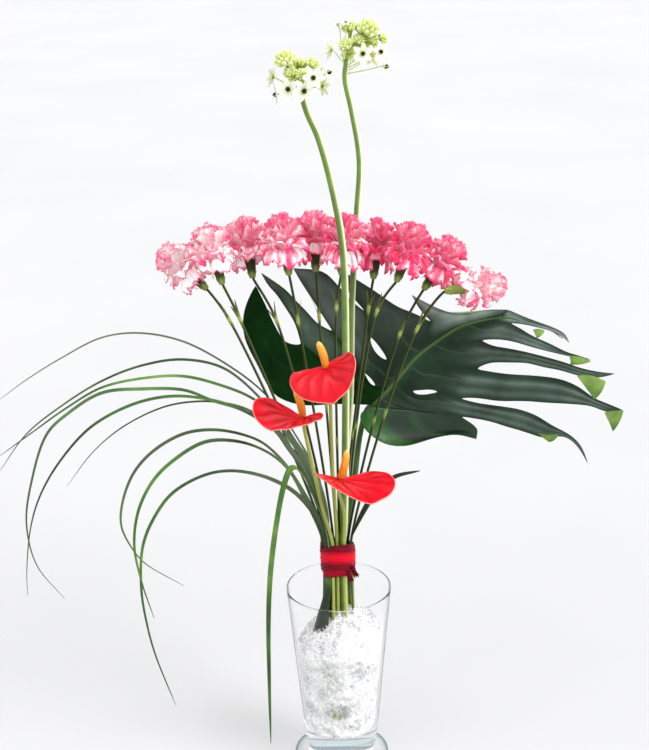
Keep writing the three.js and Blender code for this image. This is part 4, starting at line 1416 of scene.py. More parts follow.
# ---- star-of-Bethlehem

@dataclass(frozen=True)
class Star(Finish):
    """White floret or bud: white petals, green toward the foot and along the back."""

    name: str = "star_white"
    roughness: float = 0.45
    glow: float = 0.1

    def paint(self, g: Graph, effects: Effects) -> dict:
        """Returns: colour by tone: 0 white, 0.5 yellow-green, 1 black-green ovary."""
        patch = effects.patches(g, 120.0, -0.05, 0.05)
        shade = g.sum("ADD", g.value("tone"), patch)
        colour = g.ramp(shade, (0.0, "fbfbf3"), (0.12, "f1f4e0"), (0.3, "dbe39e"), (0.5, "a3ba46"),
                        (0.65, "6f9430"), (0.8, "27331a"), (1.0, "0c0f0a"))
        vein = effects.streaks(g, 10.0, 1.0, 0.1)
        return {"Base Color": colour, "Normal": g.bump(vein, 0.3, 0.0004)}


@dataclass(frozen=True)
class Scape:
    """One scape: slot in the tie, radius at its foot and top, and the path of its bare stem."""

    slot: Spot
    radius: Spot
    path: tuple[Place, ...]


@dataclass(frozen=True)
class Head:
    """Bud clusters as [middle, radius, direction]; florets as [middle, face, radius, maybe root]."""

    clusters: tuple
    florets: tuple


@dataclass(frozen=True)
class ScapeGroup:
    """Two star-of-Bethlehem scapes: bare stems with a head of buds over open florets."""

    scapes: tuple[Scape, ...] = (
        Scape((6, -7), (5.2, 4.2),
              ((8, -4, 349), (15, 21, 657), (12, 27, 734), (-1, 33, 809), (-15, 37, 862),
               (-27, 40, 890), (-33, 42, 911))),
        Scape((0.5, 14.3), (4.6, 3.8),
              ((3, 27, 350), (20, 73, 502), (25, 111, 630), (33, 143, 736), (38, 164, 805),
               (29, 183, 867), (21, 196, 908), (24, 203, 930))),
    )
    heads: tuple[Head, ...] = (
        Head(clusters=(((-51, 38, 951), 13.5, (-0.25, -0.1, 1)), ((-20, 46, 946), 8.5, (0.5, 0, 1)),
                       ((-35, 54, 944), 9.5, (0, 0.5, 1)), ((-33, 34, 936), 7.5, (0.1, -0.7, 0.8)),
                       ((-46, 38, 938), 8.5, (-0.4, -0.2, 0.8)), ((-38, 44, 930), 7, (0, -0.3, 1))),
             florets=(((-49, 28, 921), (-0.35, -0.9, 0.05), 14),
                      ((-30, 17, 920), (0.0, -1, 0.1), 14.5),
                      ((-19, 19, 935), (0.25, -0.9, 0.3), 14),
                      ((-1, 38, 938), (0.9, -0.4, 0.35), 13.5),
                      ((-64, 46, 912), (-1, -0.15, -0.1), 13),
                      ((-45, 70, 928), (-0.4, 0.9, 0.2), 13.5),
                      ((-18, 68, 932), (0.4, 0.9, 0.2), 13.5),
                      ((-8, 52, 920), (0.8, 0.5, -0.1), 13),
                      ((-68, 50, 932), (-0.9, 0.4, 0.2), 12.5))),
        Head(clusters=(((50, 203, 965), 15.5, (0.35, -0.1, 1)), ((29, 205, 969), 11, (-0.3, 0, 1)),
                       ((24, 197, 948), 10, (-0.5, -0.3, 0.6)), ((69, 206, 955), 7.5, (1, 0, 0.4)),
                       ((46, 218, 950), 11, (0.2, 0.8, 0.5)),
                       ((39, 201, 954), 9, (0.1, -0.4, 1)), ((58, 203, 951), 8, (0.8, -0.1, 0.6)),
                       ((32, 202, 941), 7, (0, -0.4, 1))),
             florets=(((67, 189, 941), (0.6, -0.8, 0.1), 14, (26, 203, 920)),
                      ((74, 198, 921), (0.85, -0.5, -0.1), 13.5, (25, 203, 912)),
                      ((44, 177, 941), (0.2, -0.95, 0.0), 14, (25, 202, 922)),
                      ((13, 199, 975), (-0.5, -0.5, 0.8), 7, (20, 202, 923)),
                      ((23, 191, 979), (-0.1, -0.6, 0.9), 7, (21, 200, 930)),
                      ((29, 236, 932), (-0.3, 0.9, 0.1), 14, (25, 205, 920)),
                      ((56, 232, 930), (0.5, 0.9, 0.1), 14, (26, 205, 916)),
                      ((3, 214, 941), (-0.9, 0.4, 0.1), 13, (22, 204, 922)))),
    )
    seed: int = 20
    cut_z: Spot = (66, 8)               # of the first stem, and the step to the next
    buds: int = 34

    def floret(self, heart: Array, face: Array, size: float, spin: float) -> Skin:
        """Open floret: six pointed petals, a dark ovary and six stamens.

        A petal's width is a sine of its length, it rises toward its tip and is grooved.

        Args:
            heart: its middle.
            face: direction it looks in.
            size: radius.
            spin: turn about that direction.

        Returns:
            The surface.
        """
        u, w = crossed_pair(face, (0.2, 0.5, 0.9))
        ring = spin + around(6)[:, None, None]
        v = np.linspace(0, 1, 9)[None, :, None]
        side = np.linspace(1, -1, 7)[None, None]
        lane = 1 + (np.arange(6) % 2)[:, None, None] * 0.06
        out = (0.12 + 0.88 * v) * size * lane
        off = side * size * 0.27 * np.sin(np.pi * (0.12 + 0.86 * v)) ** 0.8
        rise = size * (0.34 * v ** 1.3 - 0.2 * v ** 4 - 0.06 * (1 - side ** 2) * np.sin(np.pi * v))
        spoke = spokes(ring, u, w)
        over = -np.sin(ring)[..., None] * u + np.cos(ring)[..., None] * w
        grid = heart + out[..., None] * spoke + off[..., None] * over + rise[..., None] * face
        tone = 0.25 * (1 - v) ** 3 + 0.1 * (1 - side ** 2) + 0 * ring
        skin = grid_skin(grid, tone=tone) + grid_skin(grid[:, :, ::-1] - 0.45 * face,
                                                      tone=tone + 0.22 * (1 - abs(side)) ** 2)
        egg = np.array([[0.4, -0.8], [2.0, 0], [2.7, 1.6], [2.5, 3.0], [1.4, 4.4], [0.4, 5.0]])
        skin = skin + closed_skin(rings(heart, face, egg * size / 13, 12), tone=0.97)
        spoke = spokes(spin + TURN * (np.arange(6) + 0.5) / 6, u, w)
        root = heart + 0.2 * size * spoke
        top = heart + 0.42 * size * spoke + 0.42 * size * face
        return skin + self.rods(root, top, 0.35) + self.beads(top, 0.75, 0.22)

    @staticmethod
    def rods(low: Array, high: Array, r: float) -> Skin:
        """Returns: thin white four-sided rods from low to high, narrower at the top."""
        u, w = crossed_pair(unit(high - low), (0.3, 0.2, 0.9))
        ring = spokes(around(4)[None], u[:, None], w[:, None]) * r
        return closed_skin(np.stack([low[:, None] + ring, high[:, None] + 0.6 * ring], 1), tone=0.05)

    @staticmethod
    def beads(centres: Array, r: float, tone: float) -> Skin:
        """Returns: small six-sided beads."""
        h = np.array([[-0.6], [0.6]]) + np.zeros(6)
        ball = upright(0.8, around(6) + 0 * h, h) * r
        return closed_skin(centres[:, None, None] + ball, tone=tone)

    def cluster(self, middle: Array, radius: float, up: Array, rng: np.random.Generator) -> Skin:
        """Buds packed round an egg, each pointing out and up along a spiral.

        Args:
            middle: middle of the egg.
            radius: its radius.
            up: its direction.
            rng: random numbers.

        Returns:
            The surface.
        """
        k = np.arange(self.buds)
        high = mix(-0.55, 1.0, (k + 0.5) / self.buds)
        a = GOLDEN_TURN * k + rng.uniform(-0.12, 0.12, len(k))
        level = spokes(a, *crossed_pair(up, (0.3, 0.9, 0.1)))
        spoke = level * np.sqrt(1 - high ** 2)[:, None] + high[:, None] * up
        point = unit(spoke + 0.8 * up)
        foot = middle + radius * 0.34 * spoke
        side_u, side_w = crossed_pair(point, (0.1, 0.9, 0.3))
        b = around(10)
        drop = np.array([[0.1, 0.0], [0.4, 0.14], [0.52, 0.4], [0.42, 0.68], [0.22, 0.88],
                         [0.03, 1.0]])
        long = radius * rng.uniform(0.8, 0.96, len(k))
        fat = radius * rng.uniform(0.40, 0.50, len(k)) * mix(1.1, 0.8, (high + 0.55) / 1.55)
        lobes = 1 + 0.08 * np.cos(3 * b)
        ring = (np.cos(b) * lobes)[None, None, :, None] * side_u[:, None, None]
        ring = ring + (np.sin(b) * lobes)[None, None, :, None] * side_w[:, None, None]
        grid = foot[:, None, None] + fat[:, None, None, None] * drop[None, :, :1, None] * ring
        grid = grid + (long[:, None, None, None] * drop[None, :, 1:, None]) * point[:, None, None]
        rows = np.linspace(0, 1, 6)[None, :, None]
        tone = 0.60 - 0.36 * rows ** 0.8 + 0.04 * np.cos(3 * b)[None, None]
        tone = tone + rng.uniform(-0.05, 0.05, (len(k), 1, 1))
        return closed_skin(grid, tone=tone)

    def head(self, top: Array, end: Array, number: int) -> Skin:
        """Branches from the end of the stem to its bud clusters, and florets on curved stalks.

        Args:
            top: end of the stem.
            end: direction of the stem there.
            number: its number from 0.

        Returns:
            The surface.
        """
        rng = np.random.default_rng(self.seed + number)
        plan = self.heads[number]
        knot = top + 9 * end
        line = curve_through([top, knot, knot + 5 * end], 8)
        skin = rod_skin(line, np.linspace(3.4, 2.2, 8), 10, tone=0.5)
        for middle, radius, up in plan.clusters:
            middle, up = np.array(middle, float), unit(np.array(up, float))
            line = curve_through([knot - 3 * end, (knot + middle) / 2 + 2 * end, middle], 14)
            wide = mix(2.0, 0.3 * radius, smooth(0.6, 1.0, np.linspace(0, 1, 14)))
            skin = skin + rod_skin(line, wide, 8, tone=0.52) + self.cluster(middle, radius, up, rng)
        for heart, face, size, *root in plan.florets:
            heart, face = np.array(heart, float), unit(np.array(face, float))
            root = np.array(root[0], float) if root else knot
            back = heart - 0.6 * face
            line = curve_through([root, mix(root, back, 0.55) - 0.28 * size * face - 1.5 * end,
                                  back - 2.2 * face, back], 16)
            skin = skin + rod_skin(line, 0.75, 6, tone=0.42)
            skin = skin + self.floret(heart, face, size, rng.uniform(0, 1))
        return skin

    def build(self, shop: Workshop) -> None:
        """Args: shop: makes the pieces."""
        # the scape's pale colour is the cream of its painted highlight streak
        green = Stalk("scape_stalk", 0.34, 0.12, 0.2, shine=0.1, dark="2a4f08", body="6a9216",
                      pale="f2f3cf")
        for k, scape in enumerate(self.scapes):
            foot = stem_foot(scape.slot, self.cut_z[0] + self.cut_z[1] * k)
            line = stalk([*foot, *scape.path], 90)
            radii = mix(*scape.radius, np.linspace(0, 1, len(line)))
            # tone is mostly a painted highlight streak down the right-front side
            skin = rod_skin(line, radii, 20, tone=0.06 + painted_highlight_streak(20, 0.85) + 0 * line[:, :1])
            shop.piece(f"scape_{k + 1}", skin, [green], [f"star_scape_{k + 1}"])
            end = unit(line[-1] - line[-3])
            top = line[-1] + end * (GAP + 0.05)
            shop.piece(f"scape_head_{k + 1}", self.head(top, end, k), [Star()],
                       [f"star_head_{k + 1}"])


# ---- monstera

@dataclass(frozen=True)
class LeafFace(Finish):
    """Leathery leaf: dark between its veins, paler along them."""

    name: str = "monstera_face"
    roughness: float = 0.4
    shine: float = 0.14
    coat: float = 0.06
    coat_roughness: float = 0.25
    low: str = "0c1c10"
    high: str = "1b3320"
    rib: str = "4f7044"

    def paint(self, g: Graph, effects: Effects) -> dict:
        """Returns: dark green in patches, with painted light brighter by the tone and a painted grey
        sheen by the grey value, and paler veins.
        """
        patch = effects.patches(g, 26.0)
        fine = effects.patches(g, 160.0)
        green = g.blend(patch, srgb(self.low), srgb(self.high))
        # painted light: bright green where the tone marks the basal lobe's lit lower rim
        green = g.blend(g.value("tone"), green, srgb("2a6420"))
        # painted sheen: grey where the lamps would glance off the fingers
        grey = g.times(g.value("grey"), g.remap(patch, 0.0, 1.0, 0.5, 1.0))
        green = g.blend(grey, green, srgb("8b9c92"))
        green = g.blend(g.times(g.value("vein"), 0.22), green, srgb(self.rib))
        return {"Base Color": green, "Normal": g.bump(fine, 0.25, 0.0006)}


class LeafPart(Enum):
    """Finish numbers on the blade; the underside of a part takes the number after its own."""

    LIT = 0
    FOLD = 1
    SHADED = 2
    GLOSSY = 4


@dataclass(frozen=True)
class MonsteraLeaf:
    """One deeply cut leaf on its long stalk, leaning back behind the flowers."""

    slot: Spot = (11.8, 11.5)
    stalk_path: tuple[Place, ...] = ((17, 35, 350), (25, 62, 400), (33, 83, 450), (43, 90, 482))
    cut_z: float = 70.0
    stalk_r: float = 3.8
    rib_r: Spot = (2.9, 0.6)
    midrib: tuple[Spot, ...] = ((52, 492), (86, 527), (109, 551), (136, 571), (167, 589),
                                (201, 597), (232, 599), (262, 590), (287, 584), (303, 574))
    # seams between fingers: share of the midrib where each leaves it, then on to its notch
    seams: tuple = (
        (0.0, (46, 489)),
        (0.08, (110, 488), (169, 474)),
        (0.17, (103, 509), (137, 507), (166, 498)),
        (0.30, (150, 543), (188, 536)),
        (0.45, (165, 572), (195, 573)),
        (0.66, (235, 593)),
        (0.70, (232, 610)),
        (0.42, (126, 580), (129, 597)),
        (0.2, (69, 550), (49, 577), (41, 611)),
        (0.1, (55, 516), (42, 531), (-2, 587)),
        (0.05, (20, 525), (-44, 571)),
        (0.0, (37, 493)),
    )
    # holes along the seams: seam, inner end, outer end, half width
    slits: tuple = (
        (2, (103, 509), (135, 507), 2.9),
        (8, (69, 551), (50, 577), 3.8),
        (9, (54, 516), (43, 531), 2.4),
    )
    # lower edge from the notch to the tip, tip, upper edge back to the next notch
    fingers: tuple = (
        (((32, 484), (35, 466), (48, 452), (67, 441), (92, 439), (126, 448), (159, 452)),
         (188, 445), ((189, 458),)),
        (((188, 471), (208, 467), (228, 461), (248, 456), (268, 450), (283, 447), (295, 451),
          (309, 448), (322, 436)), (335, 414),
         ((326, 438), (315, 450), (303, 457), (288, 464), (268, 476), (244, 484), (216, 488),
          (188, 492))),
        (((188, 498), (216, 494), (252, 494), (284, 492), (316, 491), (343, 489), (357, 483)),
         (381, 487), ((358, 495), (343, 500), (324, 513), (301, 522), (269, 526), (229, 529))),
        (((204, 543), (237, 543), (257, 542), (277, 537), (301, 533), (320, 528), (347, 526)),
         (371, 533), ((347, 534), (324, 538), (305, 544), (277, 551), (253, 557), (229, 562),
                      (209, 566))),
        (((217, 573), (237, 570), (261, 563), (285, 557), (309, 552)), (341, 548),
         ((324, 553), (309, 557), (285, 568), (262, 578), (247, 587))),
        (((248, 592), (270, 588), (289, 583), (303, 576)), (312, 568),
         ((306, 580), (289, 589), (274, 594), (254, 601))),
        (((206, 610), (186, 607), (165, 606), (145, 611), (126, 619)), (104, 630), ((115, 612),)),
        (((108, 607), (85, 616), (53, 637), (26, 653)), (4, 665), ((16, 641),)),
        (((22, 626), (8, 642), (-12, 660)), (-53, 666), ((-44, 651), (-34, 636), (-22, 618))),
        (((-22, 598), (-35, 612), (-48, 625), (-64, 641), (-80, 652)), (-96, 662),
         ((-87, 647), (-75, 634), (-64, 618), (-52, 598))),
        (((-54, 571), (-66, 576), (-74, 588), (-82, 604), (-89, 620)), (-103, 647),
         ((-111, 634), (-118, 619), (-121, 603), (-119, 582), (-112, 565), (-102, 546), (-93, 526),
          (-83, 510), (-67, 500), (-39, 493), (1, 494))),
    )
    # light undersides that fold into view at the tips: along the finger's edge, then the hanging tip
    flaps: tuple[tuple[Spot, ...], ...] = (
        ((311, 553), (325, 552), (340, 547), (312, 541)),
        ((320, 528), (338, 529), (358, 523), (343, 498)),
        ((355, 483), (365, 486), (380, 488), (366, 459)),
        ((264, 585), (272, 586), (280, 584), (269, 574)),
        ((268, 454), (281, 452), (296, 453), (284, 443)),
    )
    # strength of a painted grey sheen on each finger
    bloom: tuple[float, ...] = (0.0, 0.09, 0.06, 0.09, 0.24, 0.85, 1.0, 0.18, 0.45, 0.36, 0.0)
    rib_steps: int = 400
    seam_steps: int = 18
    edge_steps: int = 20
    across: int = 19
    first_shaded: int = 9               # fingers from here on lie left of the midrib, in shade
    first_dull: int = 7                 # fingers from here on have no painted highlight ridges

    @staticmethod
    def depth(x: Array, z: Array) -> Array:
        """Returns: how far the leaf lies behind the picture plane; it leans back and waves."""
        lean = 92 + 0.3 * (z - 530) + 0.001 * np.maximum(0, z - 560) ** 2
        droop = -0.0007 * np.maximum(0, x - 200) ** 2 - 0.0006 * np.maximum(0, -20 - x) ** 2
        return lean + droop + 2.5 * np.sin(x / 37) * np.sin(z / 31 + x / 90)

    def parted(self, line: Array, seam: int, onward: bool) -> Array:
        """Opens a seam along its slit: half the width times the root of one less u squared.

        Args:
            line: points of the seam.
            seam: its number.
            onward: whether the patch past the seam asks, which draws back the other way.

        Returns:
            The points, moved off the middle of the slit.
        """
        for number, inner, outer, half in self.slits:
            if number != seam:
                continue
            inner, outer = np.array(inner, float), np.array(outer, float)
            axis = unit(outer - inner)
            u = (line - (inner + outer) / 2) @ axis / (np.linalg.norm(outer - inner) / 2)
            off = half * np.sqrt(np.clip(1 - u ** 2, 0, 1)) * (1 if onward else -1)
            line = line + off[:, None] * np.array([-axis[1], axis[0]])
        return line

    def edges(self, k: int, rib: Array) -> list[Array]:
        """Edge curves of a finger, along its seams and on to its tip.

        Args:
            k: the finger's number.
            rib: points of the midrib.

        Returns:
            The lower and the upper one.
        """
        lower, tip, upper = self.fingers[k]
        ends = []
        for seam, edge in ((k, (*lower, tip)), (k + 1, (*upper[::-1], tip))):
            share, *way = self.seams[seam]
            start = rib[int(round(share * self.rib_steps))]
            inner = curve_through([start, *way], self.seam_steps + 1)
            outer = curve_through([way[-1], *edge], self.edge_steps + 1)
            ends.append(np.vstack([self.parted(inner, seam, seam == k)[:-1], outer]))
        return ends

    def finger(self, k: int, rib: Array) -> Skin:
        """One patch of the blade.

        Its lower and upper edge curve are blended across, plus the bow of the midrib at its
        foot; it folds up along its middle, and the first one curls forward along its lower edge.

        Args:
            k: the finger's number.
            rib: points of the midrib.

        Returns:
            The surface.
        """
        s = np.linspace(0, 1, self.across)[:, None]
        low, high = self.edges(k, rib)
        t = np.linspace(0, 1, len(low))[None]
        flat = mix(low[None], high[None], s[..., None])
        shares = mix(self.seams[k][0], self.seams[k + 1][0], s[:, 0])
        foot = rib[np.round(shares * self.rib_steps).astype(int)]
        flat = flat + (1 - t[..., None]) ** 3 * (foot - flat[:, 0])[:, None]
        x, z = flat[..., 0], flat[..., 1]
        middle = 1 - abs(2 * s - 1)
        fold = 3.6 * (middle ** 1.5 - 0.4) * smooth(0.0, 0.25, t) * (1 - smooth(0.75, 1, t))
        y = self.depth(x, z) + fold
        vein = np.exp(-((2 * s - 1) * 17) ** 2) * (1 - 0.7 * t) + 0 * x
        vein = np.maximum(vein, np.exp(-(t * 40) ** 2) + 0 * x)
        bright = 0.0 * x
        part = LeafPart.SHADED if k >= self.first_shaded else LeafPart.LIT
        if k == 0:
            part = LeafPart.GLOSSY
            curl = np.clip(1 - s / 0.5, 0, 1) * smooth(0.1, 0.4, t)
            y = y - 13 * curl ** 1.5
            z = z + 4.6 * curl ** 1.5
            # painted light: a brighter band along the curled lower rim, where it would catch the light,
            # weaker toward the tip
            bright = 0.72 * (1 - smooth(0.1, 0.3, s)) * smooth(0.12, 0.34, t)
            bright = bright * (1 - 0.55 * smooth(0.55, 0.85, t))
            vein = np.maximum(vein, 0.9 * (bell(s, 0.52, 0.05) * smooth(0.1, 0.3, t)))
        # painted sheen: grey over each finger by its strength, and painted highlight lines along two
        # ridges of the fingers right of the midrib's foot
        grey = self.bloom[k] * np.sin(np.pi * s) ** 0.7 * smooth(0.1, 0.5, t)
        if 0 < k < self.first_dull:
            ridge = bell(s, 0.64, 0.11) + 0.5 * bell(s, 0.24, 0.1)
            ridge = ridge * smooth(0.3, 0.6, t) * (1 + 0.3 * np.sin(14 * t + k))
            grey = grey + 0.46 * (ridge * (1 - smooth(0.9, 1.0, t)))
        return grid_skin(np.stack([x, y, z], -1), finish=part.value, vein=vein, tone=bright,
                         grey=np.clip(grey, 0, 1))

    def sheet(self) -> Skin:
        """Returns: the blade; neighbouring fingers share the seam up to the notch between them."""
        rib = spread(curve_through(self.midrib, 200), self.rib_steps + 1)
        return sum((self.finger(k, rib) for k in range(len(self.fingers))), Skin()).welded(0.02)

    def folds(self) -> Skin:
        """Returns: the folded undersides, each a sheet that hangs from an edge to its tip."""
        made = Skin()
        t = np.linspace(0, 1, 10)[:, None]
        for *edge, tip in self.flaps:
            top = curve_through(edge, 13)
            flat = mix(np.array(tip, float), top[None], t[..., None])
            flat = flat + (0.10 * (t * (1 - t))[..., None]) * (top[-1] - top[0])
            x, z = flat[..., 0], flat[..., 1]
            y = self.depth(x, z) - 0.8 - 5.0 * np.sin(np.pi * t) + 0 * x
            made = made + grid_skin(np.stack([x, y, z], -1), finish=LeafPart.FOLD.value, tone=0.0)
        return made.welded(0.02)

    def build(self, shop: Workshop) -> None:
        """Args: shop: makes the pieces."""
        back = LeafFace("monstera_back", low="4a6c2c", high="84a04f", rib="a8bd7c")
        shade = LeafFace("monstera_shade", 0.6, 0.0, shine=0.02, low="071f08", high="10300f",
                         rib="28472a")
        gloss = LeafFace("monstera_gloss", 0.32, 0.5, 0.12, shine=0.2)
        shop.piece("monstera_blade", self.sheet() + self.folds(),
                   [LeafFace(), back, shade, back, gloss],
                   ["monstera_leaf"], thick=0.7, rounds=1)
        rib = curve_through(self.midrib, 60)
        rib = np.stack([rib[:, 0], self.depth(rib[:, 0], rib[:, 1]) + 0.6, rib[:, 1]], 1)
        line = stalk([*stem_foot(self.slot, self.cut_z), *self.stalk_path, rib[0]], 70)
        radii = np.r_[np.full(len(line), self.stalk_r), np.linspace(*self.rib_r, len(rib) - 2)]
        line = np.vstack([line, rib[2:]])
        shop.piece("monstera_stalk", rod_skin(line, radii, 12, tone=0.12),
                   [Stalk("monstera_stalk", 0.4, dark="1f361b", body="3b5c2b", pale="86a45e")],
                   ["monstera_leaf"])


# ---- grass

@dataclass(frozen=True)
class GrassSkin(Finish):
    """Ribbed grass: green with grey stretches and long pale lines."""

    name: str = "grass_rib"
    roughness: float = 0.42

    def paint(self, g: Graph, effects: Effects) -> dict:
        """Returns: greens by tone, grey by bloom, with fine lines along the blade."""
        streak = effects.streaks(g, 16.0, 3.0, 0.4)
        patch = effects.patches(g, 18.0, -0.2, 0.2)
        shade = g.sum("ADD", g.value("tone"), patch)
        green = g.ramp(shade, (0.0, "121c0e"), (0.35, "223a16"), (0.65, "3f6a20"), (1.0, "7fa244"))
        green = g.blend(g.value("grey"), green, srgb("75836a"))
        green = g.blend(g.times(streak, 0.14), green, srgb("74906a"))
        return {"Base Color": green, "Normal": g.bump(streak, 0.4, 0.0004)}


class Habit(Enum):
    """How a blade grows: its twist, its turn above the tie, both in degrees, its width there."""

    THIN = (48, 68, 3.2)
    SHORT = (-50, 0, 3.2)
    HEAVY = (20, 30, 6.5)


@dataclass(frozen=True)
class Blade:
    """One blade: slot in the tie, plan slope dy/dx, width, tone, arc as [x, z] and habit."""

    slot: Spot
    slope: float
    wide: float
    tone: float
    arc: tuple[Spot, ...]
    habit: Habit = Habit.THIN


@dataclass(frozen=True)
class GrassGroup:
    """Eleven blades: nine thin ones to the left, a short dark one, and a wide bent one."""

    blades: tuple[Blade, ...] = (
        Blade((-10.8, -12.4), 0.13, 3.2, 0.36, ((-13, 380), (-20, 414), (-35, 458), (-49, 487),
         (-66, 518), (-88, 550), (-122, 583), (-184, 625), (-238, 640), (-283, 637), (-333, 614),
         (-378, 588), (-414, 563))),
        Blade((-16.4, -2.6), -0.17, 4.2, 0.34, ((-25, 406), (-41, 446), (-56, 471), (-73, 498),
         (-94, 529), (-141, 570), (-193, 580), (-247, 570), (-303, 546), (-361, 508), (-413, 465),
         (-456, 408))),
        Blade((-11.2, -5), 0.03, 4.6, 0.5, ((-16, 380), (-23, 412), (-39, 454), (-54, 481),
         (-71, 510), (-107, 540), (-140, 556), (-190, 571), (-241, 570), (-294, 559), (-340, 533),
         (-389, 499), (-430, 470))),
        Blade((-13.3, -9.6), 0.12, 5.2, 0.36, ((-18, 378), (-27, 409), (-44, 449), (-59, 473),
         (-76, 500), (-120, 530), (-152, 543), (-188, 560), (-239, 565), (-289, 563), (-333, 538),
         (-360, 513), (-385, 448), (-396, 391), (-388, 331), (-357, 280))),
        Blade((-15.7, -6.3), -0.064, 5, 0.5, ((-22, 378), (-31, 408), (-48, 446), (-62, 468),
         (-79, 493), (-128, 524), (-172, 536), (-212, 538), (-259, 527), (-315, 496), (-359, 449),
         (-390, 400), (-408, 352), (-420, 283), (-422, 247))),
        Blade((-19.8, -1.4), -0.3, 3.2, 0.34, ((-29, 406), (-45, 441), (-60, 463), (-77, 485),
         (-109, 508), (-144, 516), (-184, 514), (-227, 502), (-285, 468), (-330, 427), (-373, 370))),
        Blade((-19.0, -5.5), 0.302, 5, 0.5, ((-24, 355), (-39, 394), (-62, 446), (-90, 483),
         (-114, 499), (-152, 512), (-189, 512), (-227, 494), (-252, 468), (-268, 429), (-271, 398),
         (-260, 365), (-246, 342), (-200, 301))),
        Blade((-15.2, -12.7), 0.445, 5.5, 0.55, ((-20, 359), (-36, 399), (-62, 452), (-89, 482),
         (-125, 503), (-162, 509), (-200, 492), (-224, 471), (-243, 436), (-251, 390), (-246, 340),
         (-234, 283))),
        Blade((-17.5, -9.3), 0.302, 5, 0.45, ((-26, 368), (-53, 411), (-91, 440), (-133, 455),
         (-167, 454), (-206, 436), (-229, 408), (-246, 370), (-252, 310), (-248, 255), (-240, 208),
         (-219, 129))),
        Blade((17, -8.5), -0.12, 10, -0.1, ((24, 356), (40, 390), (57, 415), (76, 430),
         (107, 439)), Habit.SHORT),
        Blade((-12.2, -15.6), 0.644, 10, 0.62, ((-20, 379), (-34, 420), (-46, 449), (-52, 457),
         (-58, 457), (-63, 448), (-70, 425), (-78, 385), (-87, 323), (-92, 253), (-94, 163),
         (-95, 66)), Habit.HEAVY),
    )
    up_steps: int = 150
    low_steps: int = 11
    thick: float = 0.32
    # lower end and width of the heavy blade's cut foot; the others run straight down
    heavy_foot: Place = (-31.0, -22.0, 176.0)
    heavy_foot_wide: float = 31.0

    def blade(self, number: int) -> Skin:
        """One blade: five columns, folded into a shallow V, tapering to a point.

        Its flat side faces outward in the bundle and turns by smooth steps to lie along the arc;
        its width follows the bundle's up to the arc and then a root of one less a power.

        Args:
            number: its number from 0.

        Returns:
            The surface.
        """
        blade = self.blades[number]
        heavy, short = blade.habit is Habit.HEAVY, blade.habit is Habit.SHORT
        twist, fan, tied = blade.habit.value
        x0, y0 = blade.slot
        low = np.array(self.heavy_foot if heavy else (x0 * 1.2, y0 * 1.2, 150 + 3 * number))
        _, tie, over = stem_foot(blade.slot, low[2])
        points = [np.array([x, y0 + blade.slope * (x - x0), z]) for x, z in blade.arc]
        up = curve_through([tie, over, *points], self.up_steps)
        line = np.vstack([spread(np.array([low, tie]), self.low_steps + 1)[:-1], up])
        t = np.r_[np.full(self.low_steps, -1.0), np.linspace(0, 1, len(up))]
        along = unit(np.gradient(line, axis=0))
        away = unit(np.array([blade.slope, -1.0, 0]))
        spin = unit(np.array([-y0, x0, 0]))
        spin = spin if spin @ away > 0 else -spin
        level = unit(mix(spin[None], away[None], smooth(0.12, 0.35, t)[:, None]))
        flat = unit(level - np.sum(level * along, 1)[:, None] * along)
        angle = -np.radians(twist) * smooth(0.25, 0.6, t)
        angle = angle - math.radians(fan) * (smooth(0.02, 0.1, t) * (1 - smooth(0.2, 0.45, t)))
        flat = flat * np.cos(angle)[:, None] + np.cross(along, flat) * np.sin(angle)[:, None]
        normal = np.cross(along, flat)
        foot_wide = self.heavy_foot_wide if heavy else tied
        bare = np.interp(line[:, 2], [low[2], TIE_Z[0]], [foot_wide, tied])
        grown = np.interp(t, [0, 0.05, 0.1, 0.2, 0.32], [tied, 4.6, 6.4, 6.2, blade.wide])
        taper = np.sqrt(np.clip(1 - np.clip(t, 0, 1) ** 2.2, 0.012, 1))
        width = np.where(t < 0, bare, grown * taper)
        side = np.linspace(-1, 1, 5)
        fold = 0.16 * (1 - abs(side))
        grid = line[:, None] + (width[:, None] * side / 2)[..., None] * flat[:, None]
        grid = grid - (width[:, None] * fold)[..., None] * normal[:, None]
        ring = np.concatenate([grid, grid[:, ::-1] - self.thick * normal[:, None]], 1)
        shade = blade.tone + 0.16 * np.sin(9 * t + number) - (0.8 if heavy else 0.1) * (t < 0)
        grey = 0.6 * smooth(0.02, 0.07, t) * (1 - smooth(0.2, 0.3 if heavy else 0.45, t))
        grey = grey + 0.35 * smooth(0.45, 0.8, t) * (number % 3 == 0)
        grey = grey * (not short)
        return closed_skin(ring[:, ::-1], tone=np.repeat(shade, 10), grey=np.repeat(grey, 10))

    def build(self, shop: Workshop) -> None:
        """Args: shop: makes the pieces."""
        for k in range(len(self.blades)):
            tag = f"{k + 1:02d}"
            shop.piece(f"grass_{tag}", self.blade(k), [GrassSkin()], [f"grass_blade_{tag}"])


# ---- studio

@dataclass(frozen=True)
class PaleGround(Finish):
    """Smooth white table."""

    name: str = "pale_ground"
    roughness: float = 0.6

    def paint(self, g: Graph, effects: Effects) -> dict:
        """Returns: near white in very faint patches."""
        patch = effects.patches(g, 1.2)
        return {"Base Color": g.blend(patch, srgb(Studio.FLOOR.value),
                                      srgb(Studio.FLOOR_PATCH.value))}


def stand(name: str, data: bpy.types.ID, axes: Sequence, place: Sequence) -> bpy.types.Object:
    """Stands a camera or lamp in the scene.

    Args:
        name: its name.
        data: its camera or light data.
        axes: where its own X, Y and Z point.
        place: where it is, in metres.

    Returns:
        The object.
    """
    made = bpy.data.objects.new(name, data)
    rows = [[*(axis[i] for axis in axes), place[i]] for i in range(3)]
    made.matrix_world = Matrix([*rows, [0, 0, 0, 1]])
    bpy.context.scene.collection.objects.link(made)
    return made


